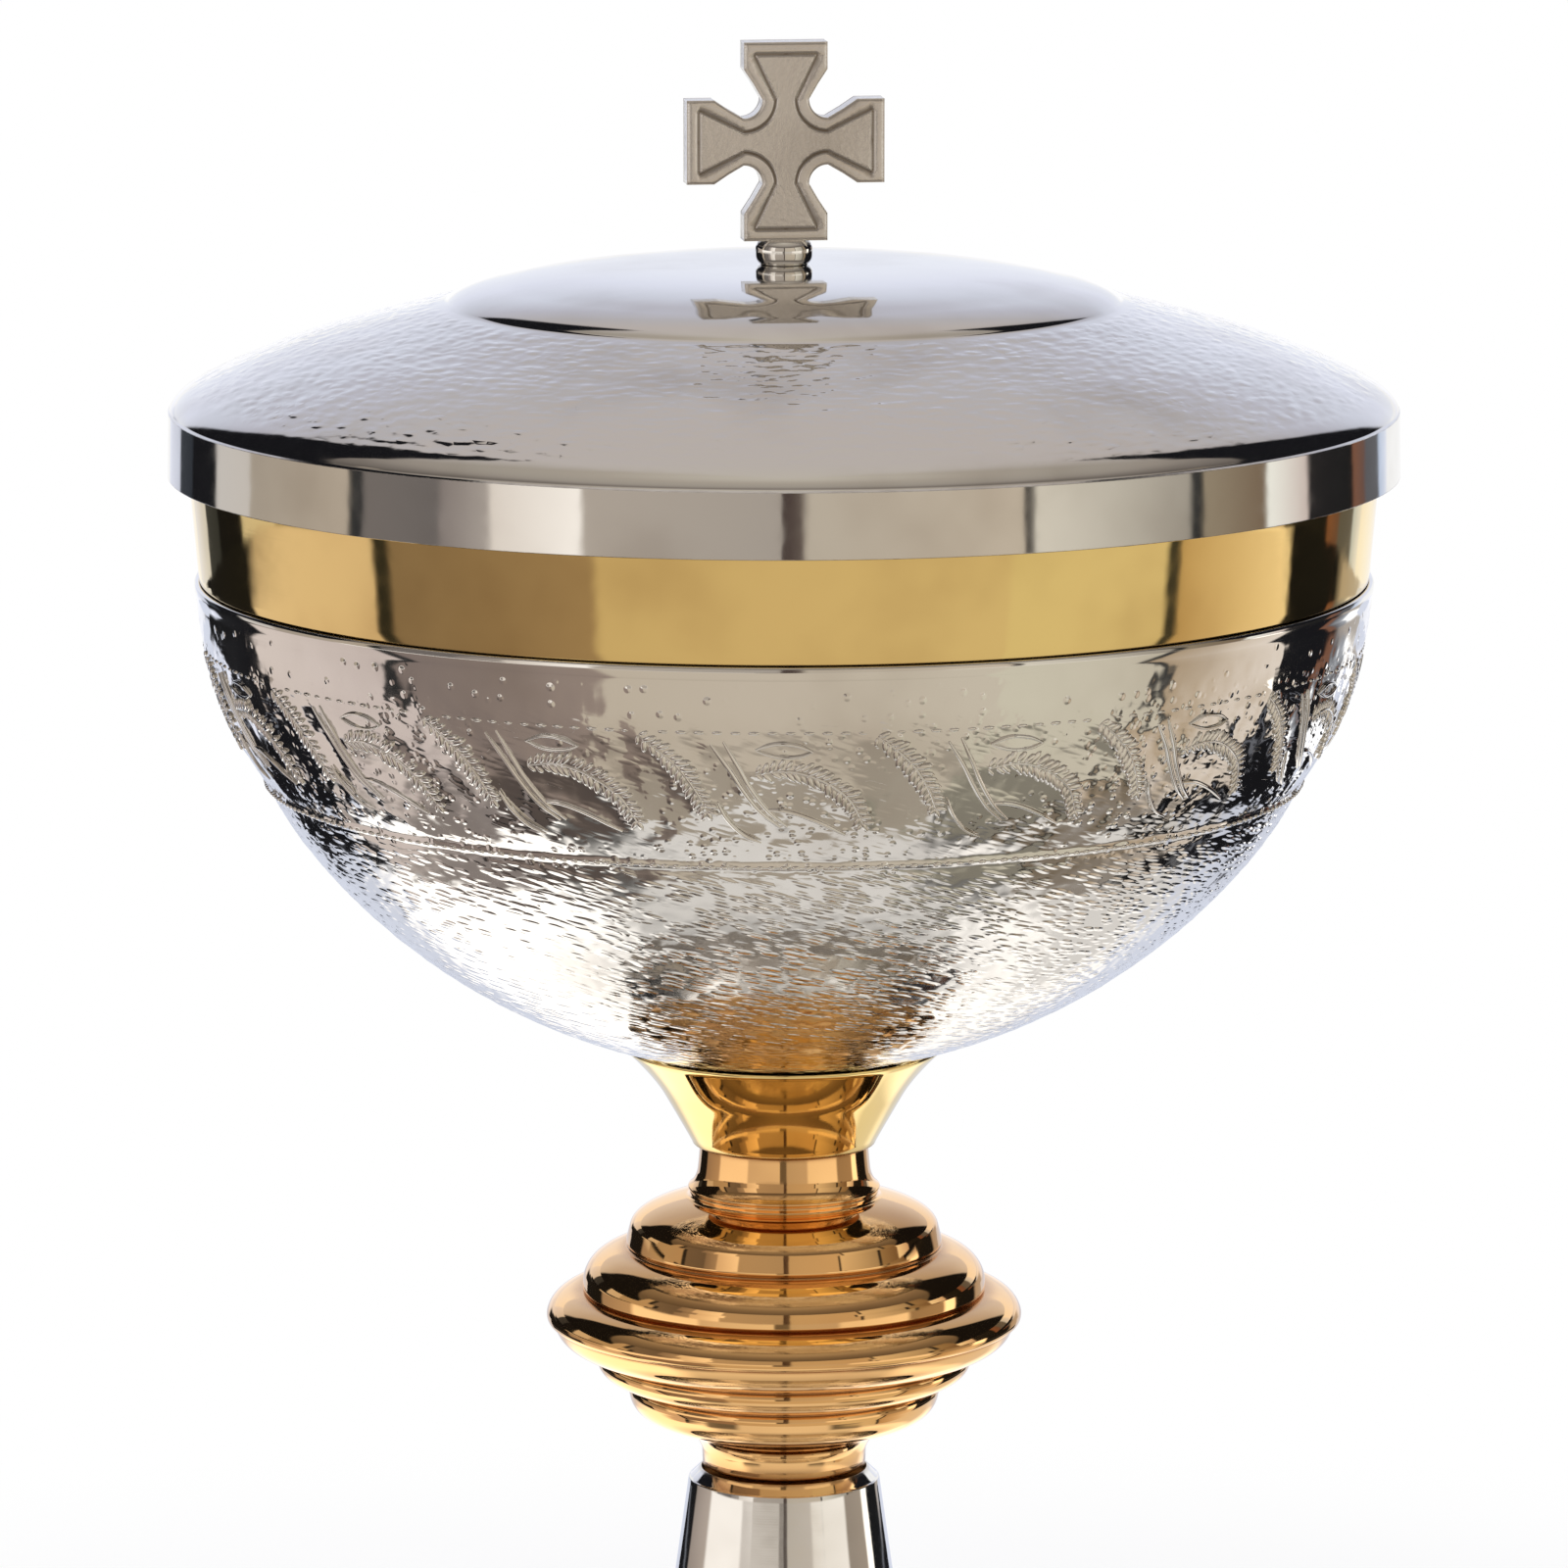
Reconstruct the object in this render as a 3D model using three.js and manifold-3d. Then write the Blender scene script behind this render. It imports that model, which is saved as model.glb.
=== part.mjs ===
// A covered ciborium: a hammered cup on a turned stem and a trumpet foot, with a lid that carries
// a cross. Millimetres, +Z up. The origin is the centre of the face that the foot stands on.
import * as THREE from "three";
import { mergeVertices } from "three/addons/utils/BufferGeometryUtils.js";
import Module from "manifold-3d";

const wasm = await Module();
wasm.setup();

// Facets round the large and the small turned pieces, and steps along each curve of an outline
const LARGE_FACETS = 36;
const SMALL_FACETS = 18;
const CURVE_STEPS = 2;

// Clearances
const SOLDER_GAP = 0.3;
const ROD_GAP = 0.3;
const STUD_GAP = 0.15;
const LID_REST_GAP = 0.05;

// Foot
const FOOT_RADIUS = 58;
const FOOT_HEIGHT = 69;
const FOOT_WALL = 1.2;
const FOOT_RIM_HEIGHT = 3;
const FOOT_RIM_ROUND = 1.6;
const FOOT_MOUTH_RADIUS = 11.05;
const FOOT_MOUTH_LIP = 1.1;
const FOOT_MOUTH_WALL = 1.3;
const FOOT_MOUTH_ROUND = 0.5;
const FOOT_CONE_SLOPE = 0.14;
const FOOT_FLARE_POWER = 4.6;
const FOOT_FLARE_STEPS = 8;
const FOOT_STEP_POWER = 1.6;
const FOOT_LEDGE_RADIUS = 6;
const FOOT_LEDGE_THICKNESS = 1.6;
const FOOT_DISC_THICKNESS = 2;
const BASE_RING_WIDTH = 3.3;
const BASE_RING_HEIGHT = 2.2;

// Rod and its fasteners
const ROD_RADIUS = 3;
const ROD_TAIL = 3;
const FOOT_WASHER_RADIUS = 8;
const FOOT_WASHER_THICKNESS = 1.6;
const SPRING_WASHER_RADIUS = 5.6;
const SPRING_WASHER_THICKNESS = 1.4;
const SPRING_WASHER_SPLIT = 0.35;
const FOOT_NUT_FLATS = 10;
const FOOT_NUT_HEIGHT = 5;

// Knop: the ringed bulb on the stem, with a neck above and below it
const KNOP_RADIUS = 26.4;
const KNOP_HEIGHT = 38;
const KNOP_WALL = 1.2;
const KNOP_NECK_RADIUS = 9.3;
const KNOP_BASE_RADIUS = 9.4;
const KNOP_LAP_HEIGHT = 1.9;
const KNOP_END_THICKNESS = 1.4;
const KNOP_END_HOLE = 4.5;
const KNOP_WASHER_THICKNESS = 1.5;
const CORE_TUBE_WALL = 1.3;

// Collar
const COLLAR_MOUTH_RADIUS = 17.5;
const COLLAR_WAIST_RADIUS = 11.3;
const COLLAR_HEIGHT = 11;
const COLLAR_WALL = 1.4;
const COLLAR_FLOOR = 1.5;
const COLLAR_BASE_RADIUS = 9.4;
const COLLAR_BASE_ROUND = 0.4;

// Bowl: (r / radius) ^ 2 + (depth below the rim / depth) ^ power = 1
const BOWL_RADIUS = 64.3;
const BOWL_DEPTH = 54.5;
const BOWL_POWER = 1.75;
const BOWL_STEPS = 8;
const SHEATH_WALL = 0.8;
const SHEATH_HOLE = 8.3;
const CUP_WALL = 1;
const CUP_BOSS_RADIUS = 7.4;
const CUP_BOSS_HEIGHT = 7;
const CUP_BOSS_THREAD = 5;

// Gold band: the part of the cup that shows above the sheath. It widens up to the rim inside the lid.
const BAND_HEIGHT = 11.5;
const BAND_INSET = 0.4;
const BAND_FLARE = 1;
const RIM_FLARE = 0.2;
const RIM_RISE = 4.8;
const RIM_ROUND = 0.5;

// Lid
const LID_WALL = 1.2;
const LID_PLAY = 0.75;
const SKIRT_FLARE = 0.15;
const SKIRT_HEIGHT = 7.05;
const DOME_RISE = 11.55;
const BOSS_RADIUS = 36.8;
const BOSS_RISE = 4;
const BOSS_ROUND_POWER = 4;
const BOSS_EDGE_POWER = 0.82;
const BOSS_STEPS = [0.94, 0.85, 0.7, 0.45]; // shares of its radius
const LOCATING_PLAY = 0.7;
const LOCATING_WALL = 0.9;
const LOCATING_DROP = 4;

// Cross and its fasteners
const BEAD_RADIUS = 3.2;
const BEAD_HEIGHT = 2.7;
const BEAD_ROUND = 1.9;
const BEAD_STEPS = 6;
const SEAT_MARGIN = 1;
const CROSS_SPAN = 21.6;
const CROSS_THICKNESS = 3.6;
const CROSS_EDGE = 0.25;
const ARM_END_WIDTH = 9.12;
const ARM_END_LENGTH = 2.97;
const ARM_CHAMFER_RUN = 1.5;
const ARM_CHAMFER_IN = 1;
const BAY_CENTRE = 4.6;
const BAY_RADIUS = 2.05;
const BAY_POINTS = 7;
const PANEL_BORDER = 1.5;
const PANEL_BAY_BORDER = 1.65;
const PANEL_END_WIDTH = 6.4;
const GROOVE_WIDTH = 0.45;
const GROOVE_DEPTH = 0.25;
const STUD_RADIUS = 1.25;
const STUD_DEPTH = 5;
const STUD_TAIL = 0.8;
const CROSS_WASHER_RADIUS = 3.4;
const CROSS_WASHER_THICKNESS = 0.6;
const CROSS_NUT_FLATS = 5;
const CROSS_NUT_HEIGHT = 2;

// Heights and radii that follow from the sizes above
const knopBase = FOOT_HEIGHT;
const knopTop = knopBase + KNOP_HEIGHT;
const collarTop = knopTop + COLLAR_HEIGHT;
const bowlDrop = (radius, depth, r) => depth * (1 - (r / radius) ** 2) ** (1 / BOWL_POWER);
const sheathRim = collarTop + SOLDER_GAP + bowlDrop(BOWL_RADIUS, BOWL_DEPTH, COLLAR_MOUTH_RADIUS);
const sheathHeightAt = (r) => sheathRim - bowlDrop(BOWL_RADIUS, BOWL_DEPTH, r);
const cupInset = SHEATH_WALL + SOLDER_GAP;
const skirtBottom = sheathRim + BAND_HEIGHT;
const cupRim = skirtBottom + RIM_RISE;
const bandFootRadius = BOWL_RADIUS - BAND_INSET;
const bandTopRadius = bandFootRadius + BAND_FLARE;
const rimRadius = bandTopRadius + RIM_FLARE;
const skirtBore = rimRadius + LID_PLAY;
const skirtTopRadius = skirtBore + LID_WALL;
const rodHole = ROD_RADIUS + ROD_GAP;
const studHole = STUD_RADIUS + STUD_GAP;

// Materials
const metal = (color, roughness) =>
  new THREE.MeshStandardMaterial({ color, roughness, metalness: 1 });
const polishedSilver = () => metal(0xcfcac3, 0.12);
const hammeredSilver = () => metal(0xc8c3bb, 0.25);
const yellowGold = () => metal(0xdcb45f, 0.12);
const redGold = () => metal(0xd9984a, 0.12);
const castSilver = () => metal(0xb5aca0, 0.35);
const plainBrass = () => metal(0xc2a25c, 0.4);
const plainSteel = () => metal(0x9a9a9c, 0.4);

// Turned pieces. An outline is a list of [radius, height] points.
function turned(outline, facets = LARGE_FACETS) {
  const onAxis = outline[0][0] === 0 && outline.at(-1)[0] === 0;
  const loop = onAxis ? outline : [...outline, outline[0]];
  const points = loop.map(([r, z]) => new THREE.Vector2(r, z));
  if (THREE.ShapeUtils.area(points) < 0) points.reverse();
  return new THREE.LatheGeometry(points, facets).rotateX(Math.PI / 2);
}

// A washer, disc or tube: a turned piece of rectangular section
function turnedRing(inner, outer, low, high, facets = SMALL_FACETS) {
  return turned([[inner, low], [outer, low], [outer, high], [inner, high]], facets);
}

// The points of a path that starts at one point and runs on in curves, each [control, end]
function curved(start, curves, steps = CURVE_STEPS) {
  const path = new THREE.Path().moveTo(...start);
  for (const [control, end] of curves) path.quadraticCurveTo(...control, ...end);
  return path.getPoints(steps).map((p) => [p.x, p.y]);
}

// An outline moved by a distance to the right of its direction of travel
function offsetOutline(outline, distance) {
  return outline.map(([r, z], i) => {
    const [r0, z0] = outline[Math.max(i - 1, 0)];
    const [r1, z1] = outline[Math.min(i + 1, outline.length - 1)];
    const length = Math.hypot(r1 - r0, z1 - z0);
    return [r + ((z1 - z0) / length) * distance, z - ((r1 - r0) / length) * distance];
  });
}

// Booleans
function toSolid(geometry) {
  const bare = geometry.index ? geometry.toNonIndexed() : geometry.clone();
  bare.deleteAttribute("normal");
  bare.deleteAttribute("uv");
  const merged = mergeVertices(bare, 1e-4);
  const { array } = merged.attributes.position;
  const triVerts = new Uint32Array(merged.index.array);
  return new wasm.Manifold(new wasm.Mesh({ numProp: 3, vertProperties: array, triVerts }));
}

function toGeometry(solid) {
  const { vertProperties, triVerts } = solid.getMesh();
  const geometry = new THREE.BufferGeometry();
  geometry.setAttribute("position", new THREE.BufferAttribute(vertProperties, 3));
  geometry.setIndex(new THREE.BufferAttribute(triVerts, 1));
  return geometry;
}

// Flat pieces cut from a closed outline of [x, y] points, with an optional hole
function plate(outline, thickness, hole, edge = 0) {
  const shape = new THREE.Shape(outline.map(([x, y]) => new THREE.Vector2(x, y)));
  if (hole) shape.holes.push(new THREE.Path(hole.map(([x, y]) => new THREE.Vector2(x, y))));
  return new THREE.ExtrudeGeometry(shape, {
    depth: thickness - 2 * edge,
    bevelEnabled: edge > 0,
    bevelSize: edge,
    bevelThickness: edge,
    bevelOffset: -edge,
    bevelSegments: 1,
  }).translate(0, 0, edge);
}

function ringOfPoints(radius, count, from = 0, sweep = 2 * Math.PI) {
  const closed = sweep === 2 * Math.PI;
  const steps = closed ? count : count - 1;
  return Array.from({ length: count }, (_, i) => {
    const angle = from + (sweep * i) / steps;
    return [radius * Math.cos(angle), radius * Math.sin(angle)];
  });
}

function hexNut(flats, height, hole) {
  const corner = flats / 2 / Math.cos(Math.PI / 6);
  return plate(ringOfPoints(corner, 6), height, ringOfPoints(hole, SMALL_FACETS));
}

// Foot
const footSpan = FOOT_HEIGHT - FOOT_RIM_HEIGHT - FOOT_RIM_ROUND;
const footShoulder = FOOT_RADIUS - FOOT_RIM_ROUND;
const footRadiusAt = (depth) =>
  FOOT_MOUTH_RADIUS +
  FOOT_CONE_SLOPE * depth +
  (footShoulder - FOOT_MOUTH_RADIUS - FOOT_CONE_SLOPE * footSpan) *
    (depth / footSpan) ** FOOT_FLARE_POWER;

function footTrumpet() {
  return Array.from({ length: FOOT_FLARE_STEPS + 1 }, (_, i) => {
    const depth = footSpan * (1 - (i / FOOT_FLARE_STEPS) ** FOOT_STEP_POWER);
    return [footRadiusAt(depth), FOOT_HEIGHT - depth];
  });
}

const footMouthHole = FOOT_MOUTH_RADIUS - FOOT_MOUTH_WALL;
const ledgeTop = FOOT_HEIGHT - FOOT_DISC_THICKNESS;
const ledgeUnderside = ledgeTop - FOOT_LEDGE_THICKNESS;
const footInnerRadius = FOOT_RADIUS - FOOT_WALL;

function footShell() {
  const trumpet = footTrumpet();
  const lip = curved(trumpet.at(-1), [
    [
      [FOOT_MOUTH_RADIUS, FOOT_HEIGHT + FOOT_MOUTH_LIP],
      [footMouthHole + FOOT_MOUTH_ROUND, FOOT_HEIGHT + FOOT_MOUTH_LIP],
    ],
  ]);
  const inside = offsetOutline(trumpet, -FOOT_WALL).filter(([, z]) => z < ledgeUnderside - FOOT_WALL);
  return turned([
    [FOOT_RADIUS, 0],
    [FOOT_RADIUS, FOOT_RIM_HEIGHT],
    ...trumpet,
    ...lip.slice(1),
    [footMouthHole, FOOT_HEIGHT + FOOT_MOUTH_LIP / 2],
    [footMouthHole, ledgeTop],
    [FOOT_LEDGE_RADIUS, ledgeTop],
    [FOOT_LEDGE_RADIUS, ledgeUnderside],
    [footRadiusAt(FOOT_HEIGHT - ledgeUnderside) - FOOT_WALL, ledgeUnderside],
    ...inside.reverse(),
    [footInnerRadius, FOOT_RIM_HEIGHT - FOOT_WALL / 3],
    [footInnerRadius, 0],
  ]);
}

function footTopDisc() {
  return turnedRing(rodHole, footMouthHole - SOLDER_GAP, ledgeTop, FOOT_HEIGHT, LARGE_FACETS);
}

function footBaseRing() {
  const outer = footInnerRadius - SOLDER_GAP;
  return turnedRing(outer - BASE_RING_WIDTH, outer, 0, BASE_RING_HEIGHT, LARGE_FACETS);
}

// Fasteners under the foot's ledge, from the top down
const washerBottom = ledgeUnderside - FOOT_WASHER_THICKNESS;
const springWasherBottom = washerBottom - SPRING_WASHER_THICKNESS;
const footNutBottom = springWasherBottom - FOOT_NUT_HEIGHT;

function footWasher() {
  return turnedRing(rodHole, FOOT_WASHER_RADIUS, washerBottom, ledgeUnderside);
}

function footSpringWasher() {
  const sweep = 2 * Math.PI - SPRING_WASHER_SPLIT;
  const from = SPRING_WASHER_SPLIT / 2;
  const outside = ringOfPoints(SPRING_WASHER_RADIUS, SMALL_FACETS, from, sweep);
  const inside = ringOfPoints(rodHole, SMALL_FACETS, from, sweep);
  const geometry = plate([...outside, ...inside.reverse()], SPRING_WASHER_THICKNESS);
  return geometry.translate(0, 0, springWasherBottom);
}

function footNut() {
  return hexNut(FOOT_NUT_FLATS, FOOT_NUT_HEIGHT, rodHole).translate(0, 0, footNutBottom);
}

// Knop. Outlines are given as shares of its radius and of its height below its top.
// Each ring has two curves, one that swells to its crest and one that tucks in under it.
const knopPoint = ([out, down]) => [out * KNOP_RADIUS, knopTop - down * KNOP_HEIGHT];
const UPPER_NECK_SHARES = [
  [[0.375, 0.047], [0.379, 0.087]],
  [[0.381, 0.11], [0.405, 0.124]],
];
const UPPER_RING_SHARES = [
  [[0.64, 0.2], [0.674, 0.268], [0.678, 0.292], [0.652, 0.308]],
  [[0.803, 0.324], [0.848, 0.405], [0.848, 0.426], [0.822, 0.432]],
  [[0.97, 0.437], [1, 0.5], [1, 0.526], [0.97, 0.545]],
];
const LOWER_RING_SHARES = [
  [[0.966, 0.555], [0.955, 0.571], [0.924, 0.608], [0.773, 0.629]],
  [[0.792, 0.639], [0.78, 0.661], [0.761, 0.692], [0.64, 0.713]],
  [[0.659, 0.726], [0.65, 0.747], [0.64, 0.805], [0.508, 0.829]],
];
const BASE_COVE_SHARES = [[[0.39, 0.85], [0.364, 0.916]]];
const pairs = (ring) => [[ring[0], ring[1]], [ring[2], ring[3]]];
const knopCurves = (curves) => curves.map((curve) => curve.map(knopPoint));
const seam = knopPoint(UPPER_RING_SHARES.at(-1)[3]);
const neckBore = KNOP_NECK_RADIUS - 0.9 * KNOP_WALL;
const stepIn = 1.3 * KNOP_WALL;

function knopUpperShell() {
  const neck = knopCurves(UPPER_NECK_SHARES);
  const rings = knopCurves(UPPER_RING_SHARES.flatMap(pairs));
  const inside = UPPER_RING_SHARES.slice(0, -1).flatMap((ring) => {
    const [, crest, , groove] = ring.map(knopPoint);
    return [
      [groove[0] - stepIn, crest[1] - 0.4 * KNOP_WALL],
      [groove[0] - stepIn, groove[1] - 0.7 * KNOP_WALL],
    ];
  });
  return turned([
    ...curved([KNOP_NECK_RADIUS, knopTop], [...neck, ...rings]),
    [seam[0] - stepIn, seam[1]],
    [seam[0] - stepIn, seam[1] + KNOP_LAP_HEIGHT + SOLDER_GAP],
    ...inside.reverse(),
    [neckBore, neck.at(-1)[1][1]],
    [neckBore, knopTop - KNOP_END_THICKNESS],
    [KNOP_END_HOLE, knopTop - KNOP_END_THICKNESS],
    [KNOP_END_HOLE, knopTop],
  ]);
}

function knopLowerShell() {
  const rings = knopCurves([...LOWER_RING_SHARES.flatMap(pairs), ...BASE_COVE_SHARES]);
  const lapRadius = seam[0] - stepIn - SOLDER_GAP;
  const inside = LOWER_RING_SHARES.flatMap((ring) => {
    const groove = knopPoint(ring[3]);
    return [
      [groove[0] - stepIn, groove[1] + 0.75 * KNOP_WALL],
      [groove[0] - stepIn, groove[1] - 0.85 * KNOP_WALL],
    ];
  });
  const cove = rings.at(-1)[0];
  return turned([
    ...curved(seam, rings),
    [KNOP_BASE_RADIUS, knopBase],
    [KNOP_END_HOLE, knopBase],
    [KNOP_END_HOLE, knopBase + KNOP_END_THICKNESS],
    [neckBore, knopBase + KNOP_END_THICKNESS],
    [neckBore, cove[1]],
    ...inside.slice(0, -1).reverse(),
    [lapRadius - KNOP_WALL, seam[1] - KNOP_WALL],
    [lapRadius - KNOP_WALL, seam[1] + KNOP_LAP_HEIGHT],
    [lapRadius, seam[1] + KNOP_LAP_HEIGHT],
    [lapRadius, seam[1]],
  ]);
}

const coreTop = knopTop - KNOP_END_THICKNESS - KNOP_WASHER_THICKNESS;
const coreBottom = knopBase + KNOP_END_THICKNESS + KNOP_WASHER_THICKNESS;
const knopWasherRadius = neckBore - SOLDER_GAP;

function knopTopWasher() {
  return turnedRing(rodHole, knopWasherRadius, coreTop, coreTop + KNOP_WASHER_THICKNESS);
}

function knopBottomWasher() {
  return turnedRing(rodHole, knopWasherRadius, coreBottom - KNOP_WASHER_THICKNESS, coreBottom);
}

function knopCoreTube() {
  return turnedRing(rodHole, rodHole + CORE_TUBE_WALL, coreBottom, coreTop);
}

// Collar
function collar() {
  const point = (share, up) => [
    COLLAR_WAIST_RADIUS + share * (COLLAR_MOUTH_RADIUS - COLLAR_WAIST_RADIUS),
    knopTop + up * COLLAR_HEIGHT,
  ];
  const foot = [[point(-0.03, 0.08), point(0, 0.18)]];
  const flare = [
    [point(0.16, 0.373), point(0.32, 0.545)],
    [point(0.58, 0.782), point(1, 1)],
  ];
  const bore = ([r, z]) => [r - COLLAR_WALL, z];
  const lip = COLLAR_MOUTH_RADIUS - COLLAR_WALL;
  const inner = curved(bore(point(0, 0.18)), flare.map((curve) => curve.map(bore)));
  return turned([
    [COLLAR_BASE_RADIUS, knopTop],
    ...curved([COLLAR_BASE_RADIUS + COLLAR_BASE_ROUND, knopTop + COLLAR_BASE_ROUND], [
      ...foot,
      ...flare,
    ]),
    [lip, sheathHeightAt(lip) - SOLDER_GAP],
    ...inner.slice(0, -1).reverse(),
    [COLLAR_WAIST_RADIUS - COLLAR_WALL, knopTop + COLLAR_FLOOR],
    [rodHole, knopTop + COLLAR_FLOOR],
    [rodHole, knopTop],
  ]);
}

// Bowl
const bowlEnd = Math.acos(SHEATH_HOLE / BOWL_RADIUS);

function bowlOutline(inset) {
  return Array.from({ length: BOWL_STEPS + 1 }, (_, i) => {
    const angle = (bowlEnd * i) / BOWL_STEPS;
    const drop = (BOWL_DEPTH - inset) * Math.sin(angle) ** (2 / BOWL_POWER);
    return [(BOWL_RADIUS - inset) * Math.cos(angle), sheathRim - drop];
  });
}

function cupSheath() {
  return turned([...bowlOutline(0), ...bowlOutline(SHEATH_WALL).reverse()]);
}

const cupOutside = bowlOutline(cupInset);
const cupBottom = cupOutside.at(-1)[1];

function cup() {
  const inside = bowlOutline(cupInset + CUP_WALL);
  return turned([
    [0, cupBottom],
    ...cupOutside.toReversed(),
    [bandFootRadius, sheathRim],
    [bandTopRadius, skirtBottom],
    [rimRadius, cupRim - RIM_ROUND],
    [rimRadius - RIM_ROUND, cupRim],
    [rimRadius - CUP_WALL, cupRim],
    [bandTopRadius - CUP_WALL, skirtBottom],
    ...inside,
    [0, inside.at(-1)[1]],
  ]);
}

const bossBottom = cupBottom - CUP_BOSS_HEIGHT;
const rodTop = bossBottom + CUP_BOSS_THREAD;

function cupBoss() {
  return turned(
    [
      [0, cupBottom],
      [CUP_BOSS_RADIUS, cupBottom],
      [CUP_BOSS_RADIUS, bossBottom],
      [rodHole, bossBottom],
      [rodHole, rodTop],
      [0, rodTop],
    ],
    SMALL_FACETS,
  );
}

function tieRod() {
  const bottom = footNutBottom - ROD_TAIL;
  return turned([[0, bottom], [ROD_RADIUS, bottom], [ROD_RADIUS, rodTop], [0, rodTop]], SMALL_FACETS);
}

// Lid. Its own heights start at the skirt's lower edge.
const bossRoot = SKIRT_HEIGHT + DOME_RISE;
const lidTop = bossRoot + BOSS_RISE;

function lidOutside() {
  const point = (inward, up) => [
    skirtTopRadius - inward * (skirtTopRadius - BOSS_RADIUS),
    SKIRT_HEIGHT + up * DOME_RISE,
  ];
  const dome = curved(point(0, 0), [
    [point(0.02, 0.13), point(0.1, 0.22)],
    [point(0.33, 0.51), point(0.56, 0.68)],
    [point(0.78, 0.84), point(1, 1)],
  ]);
  const boss = BOSS_STEPS.map((share) => [
    share * BOSS_RADIUS,
    bossRoot + BOSS_RISE * (1 - share ** BOSS_ROUND_POWER) ** BOSS_EDGE_POWER,
  ]);
  const seat = [BEAD_RADIUS + SEAT_MARGIN, lidTop];
  return [[skirtTopRadius + SKIRT_FLARE, 0], ...dome, ...boss, seat];
}

const lidInnerTop = lidTop - LID_WALL;

function lidShell() {
  const outside = lidOutside();
  const inside = offsetOutline(outside.slice(2, -1), -LID_WALL);
  return turned([
    ...outside,
    [studHole, lidTop],
    [studHole, lidInnerTop],
    [CROSS_WASHER_RADIUS + SEAT_MARGIN, lidInnerTop],
    ...inside.reverse(),
    [skirtBore, SKIRT_HEIGHT - LID_WALL / 2],
    [skirtBore, 0],
  ]);
}

function lidLocatingRing() {
  const low = RIM_RISE - LOCATING_DROP;
  const seat = RIM_RISE + LID_REST_GAP;
  const outer = bandTopRadius - CUP_WALL - LOCATING_PLAY;
  const inner = outer - LOCATING_WALL;
  const flange = skirtBore - SOLDER_GAP;
  return turned([
    [inner, low],
    [outer, low],
    [outer, seat],
    [flange, seat],
    [flange, seat + LOCATING_WALL],
    [inner, seat + LOCATING_WALL],
  ]);
}

// Cross, on the lid's axis
const crossBottom = lidTop + BEAD_HEIGHT;

function crossBead() {
  const waist = BEAD_HEIGHT / 2;
  const side = Array.from({ length: BEAD_STEPS + 1 }, (_, i) => {
    const z = (BEAD_HEIGHT * i) / BEAD_STEPS;
    return [BEAD_RADIUS * Math.sqrt(1 - ((z - waist) / BEAD_ROUND) ** 2), lidTop + z];
  });
  return turned([[studHole, lidTop], ...side, [studHole, crossBottom]], SMALL_FACETS);
}

// An outline with the same quadrant four times: the arm's end, its side and half of each bay
function crossOutline(side, bayCentre, bayRadius) {
  const bay = ringOfPoints(bayRadius, BAY_POINTS, -Math.PI, Math.PI / 2);
  const quadrant = [
    ...side,
    ...bay.map(([x, y]) => [bayCentre + x, bayCentre + y]),
    ...side.map(([x, y]) => [y, x]).reverse(),
  ];
  const quarterTurn = ([x, y]) => [y, -x];
  let turn = quadrant;
  const outline = [];
  for (let i = 0; i < 4; i += 1) {
    outline.push(...turn);
    turn = turn.map(quarterTurn);
  }
  return outline.reverse();
}

function crossBody() {
  const end = CROSS_SPAN / 2;
  const half = ARM_END_WIDTH / 2;
  const side = [
    [half, end],
    [half, end - ARM_END_LENGTH],
    [half - ARM_CHAMFER_IN, end - ARM_END_LENGTH - ARM_CHAMFER_RUN],
  ];
  return plate(crossOutline(side, BAY_CENTRE, BAY_RADIUS), CROSS_THICKNESS, null, CROSS_EDGE);
}

function panelOutline(grow) {
  const radius = BAY_RADIUS + PANEL_BAY_BORDER - grow;
  const side = [[PANEL_END_WIDTH / 2 + grow, CROSS_SPAN / 2 - PANEL_BORDER + grow]];
  return crossOutline(side, BAY_CENTRE, radius);
}

function cross() {
  const groove = toSolid(
    plate(panelOutline(GROOVE_WIDTH), 2 * GROOVE_DEPTH, panelOutline(0).reverse()),
  );
  const atFace = (z) => groove.translate([0, 0, z - GROOVE_DEPTH]);
  const grooved = toSolid(crossBody()).subtract(atFace(0)).subtract(atFace(CROSS_THICKNESS));
  const geometry = toGeometry(grooved)
    .translate(0, 0, -CROSS_THICKNESS / 2)
    .rotateX(Math.PI / 2)
    .translate(0, 0, crossBottom + CROSS_SPAN / 2);
  const bore = turned(
    [
      [0, crossBottom - SEAT_MARGIN],
      [studHole, crossBottom - SEAT_MARGIN],
      [studHole, crossBottom + STUD_DEPTH],
      [0, crossBottom + STUD_DEPTH],
    ],
    SMALL_FACETS,
  );
  return toGeometry(toSolid(geometry).subtract(toSolid(bore)));
}

const crossWasherBottom = lidInnerTop - CROSS_WASHER_THICKNESS;
const crossNutBottom = crossWasherBottom - CROSS_NUT_HEIGHT;

function crossStud() {
  const bottom = crossNutBottom - STUD_TAIL;
  const top = crossBottom + STUD_DEPTH;
  return turned([[0, bottom], [STUD_RADIUS, bottom], [STUD_RADIUS, top], [0, top]], SMALL_FACETS);
}

function crossWasher() {
  return turnedRing(studHole, CROSS_WASHER_RADIUS, crossWasherBottom, lidInnerTop);
}

function crossNut() {
  return hexNut(CROSS_NUT_FLATS, CROSS_NUT_HEIGHT, studHole).translate(0, 0, crossNutBottom);
}

// Assembly
function add(group, name, geometry, material) {
  const mesh = new THREE.Mesh(geometry, material);
  mesh.name = name;
  group.add(mesh);
}

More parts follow.
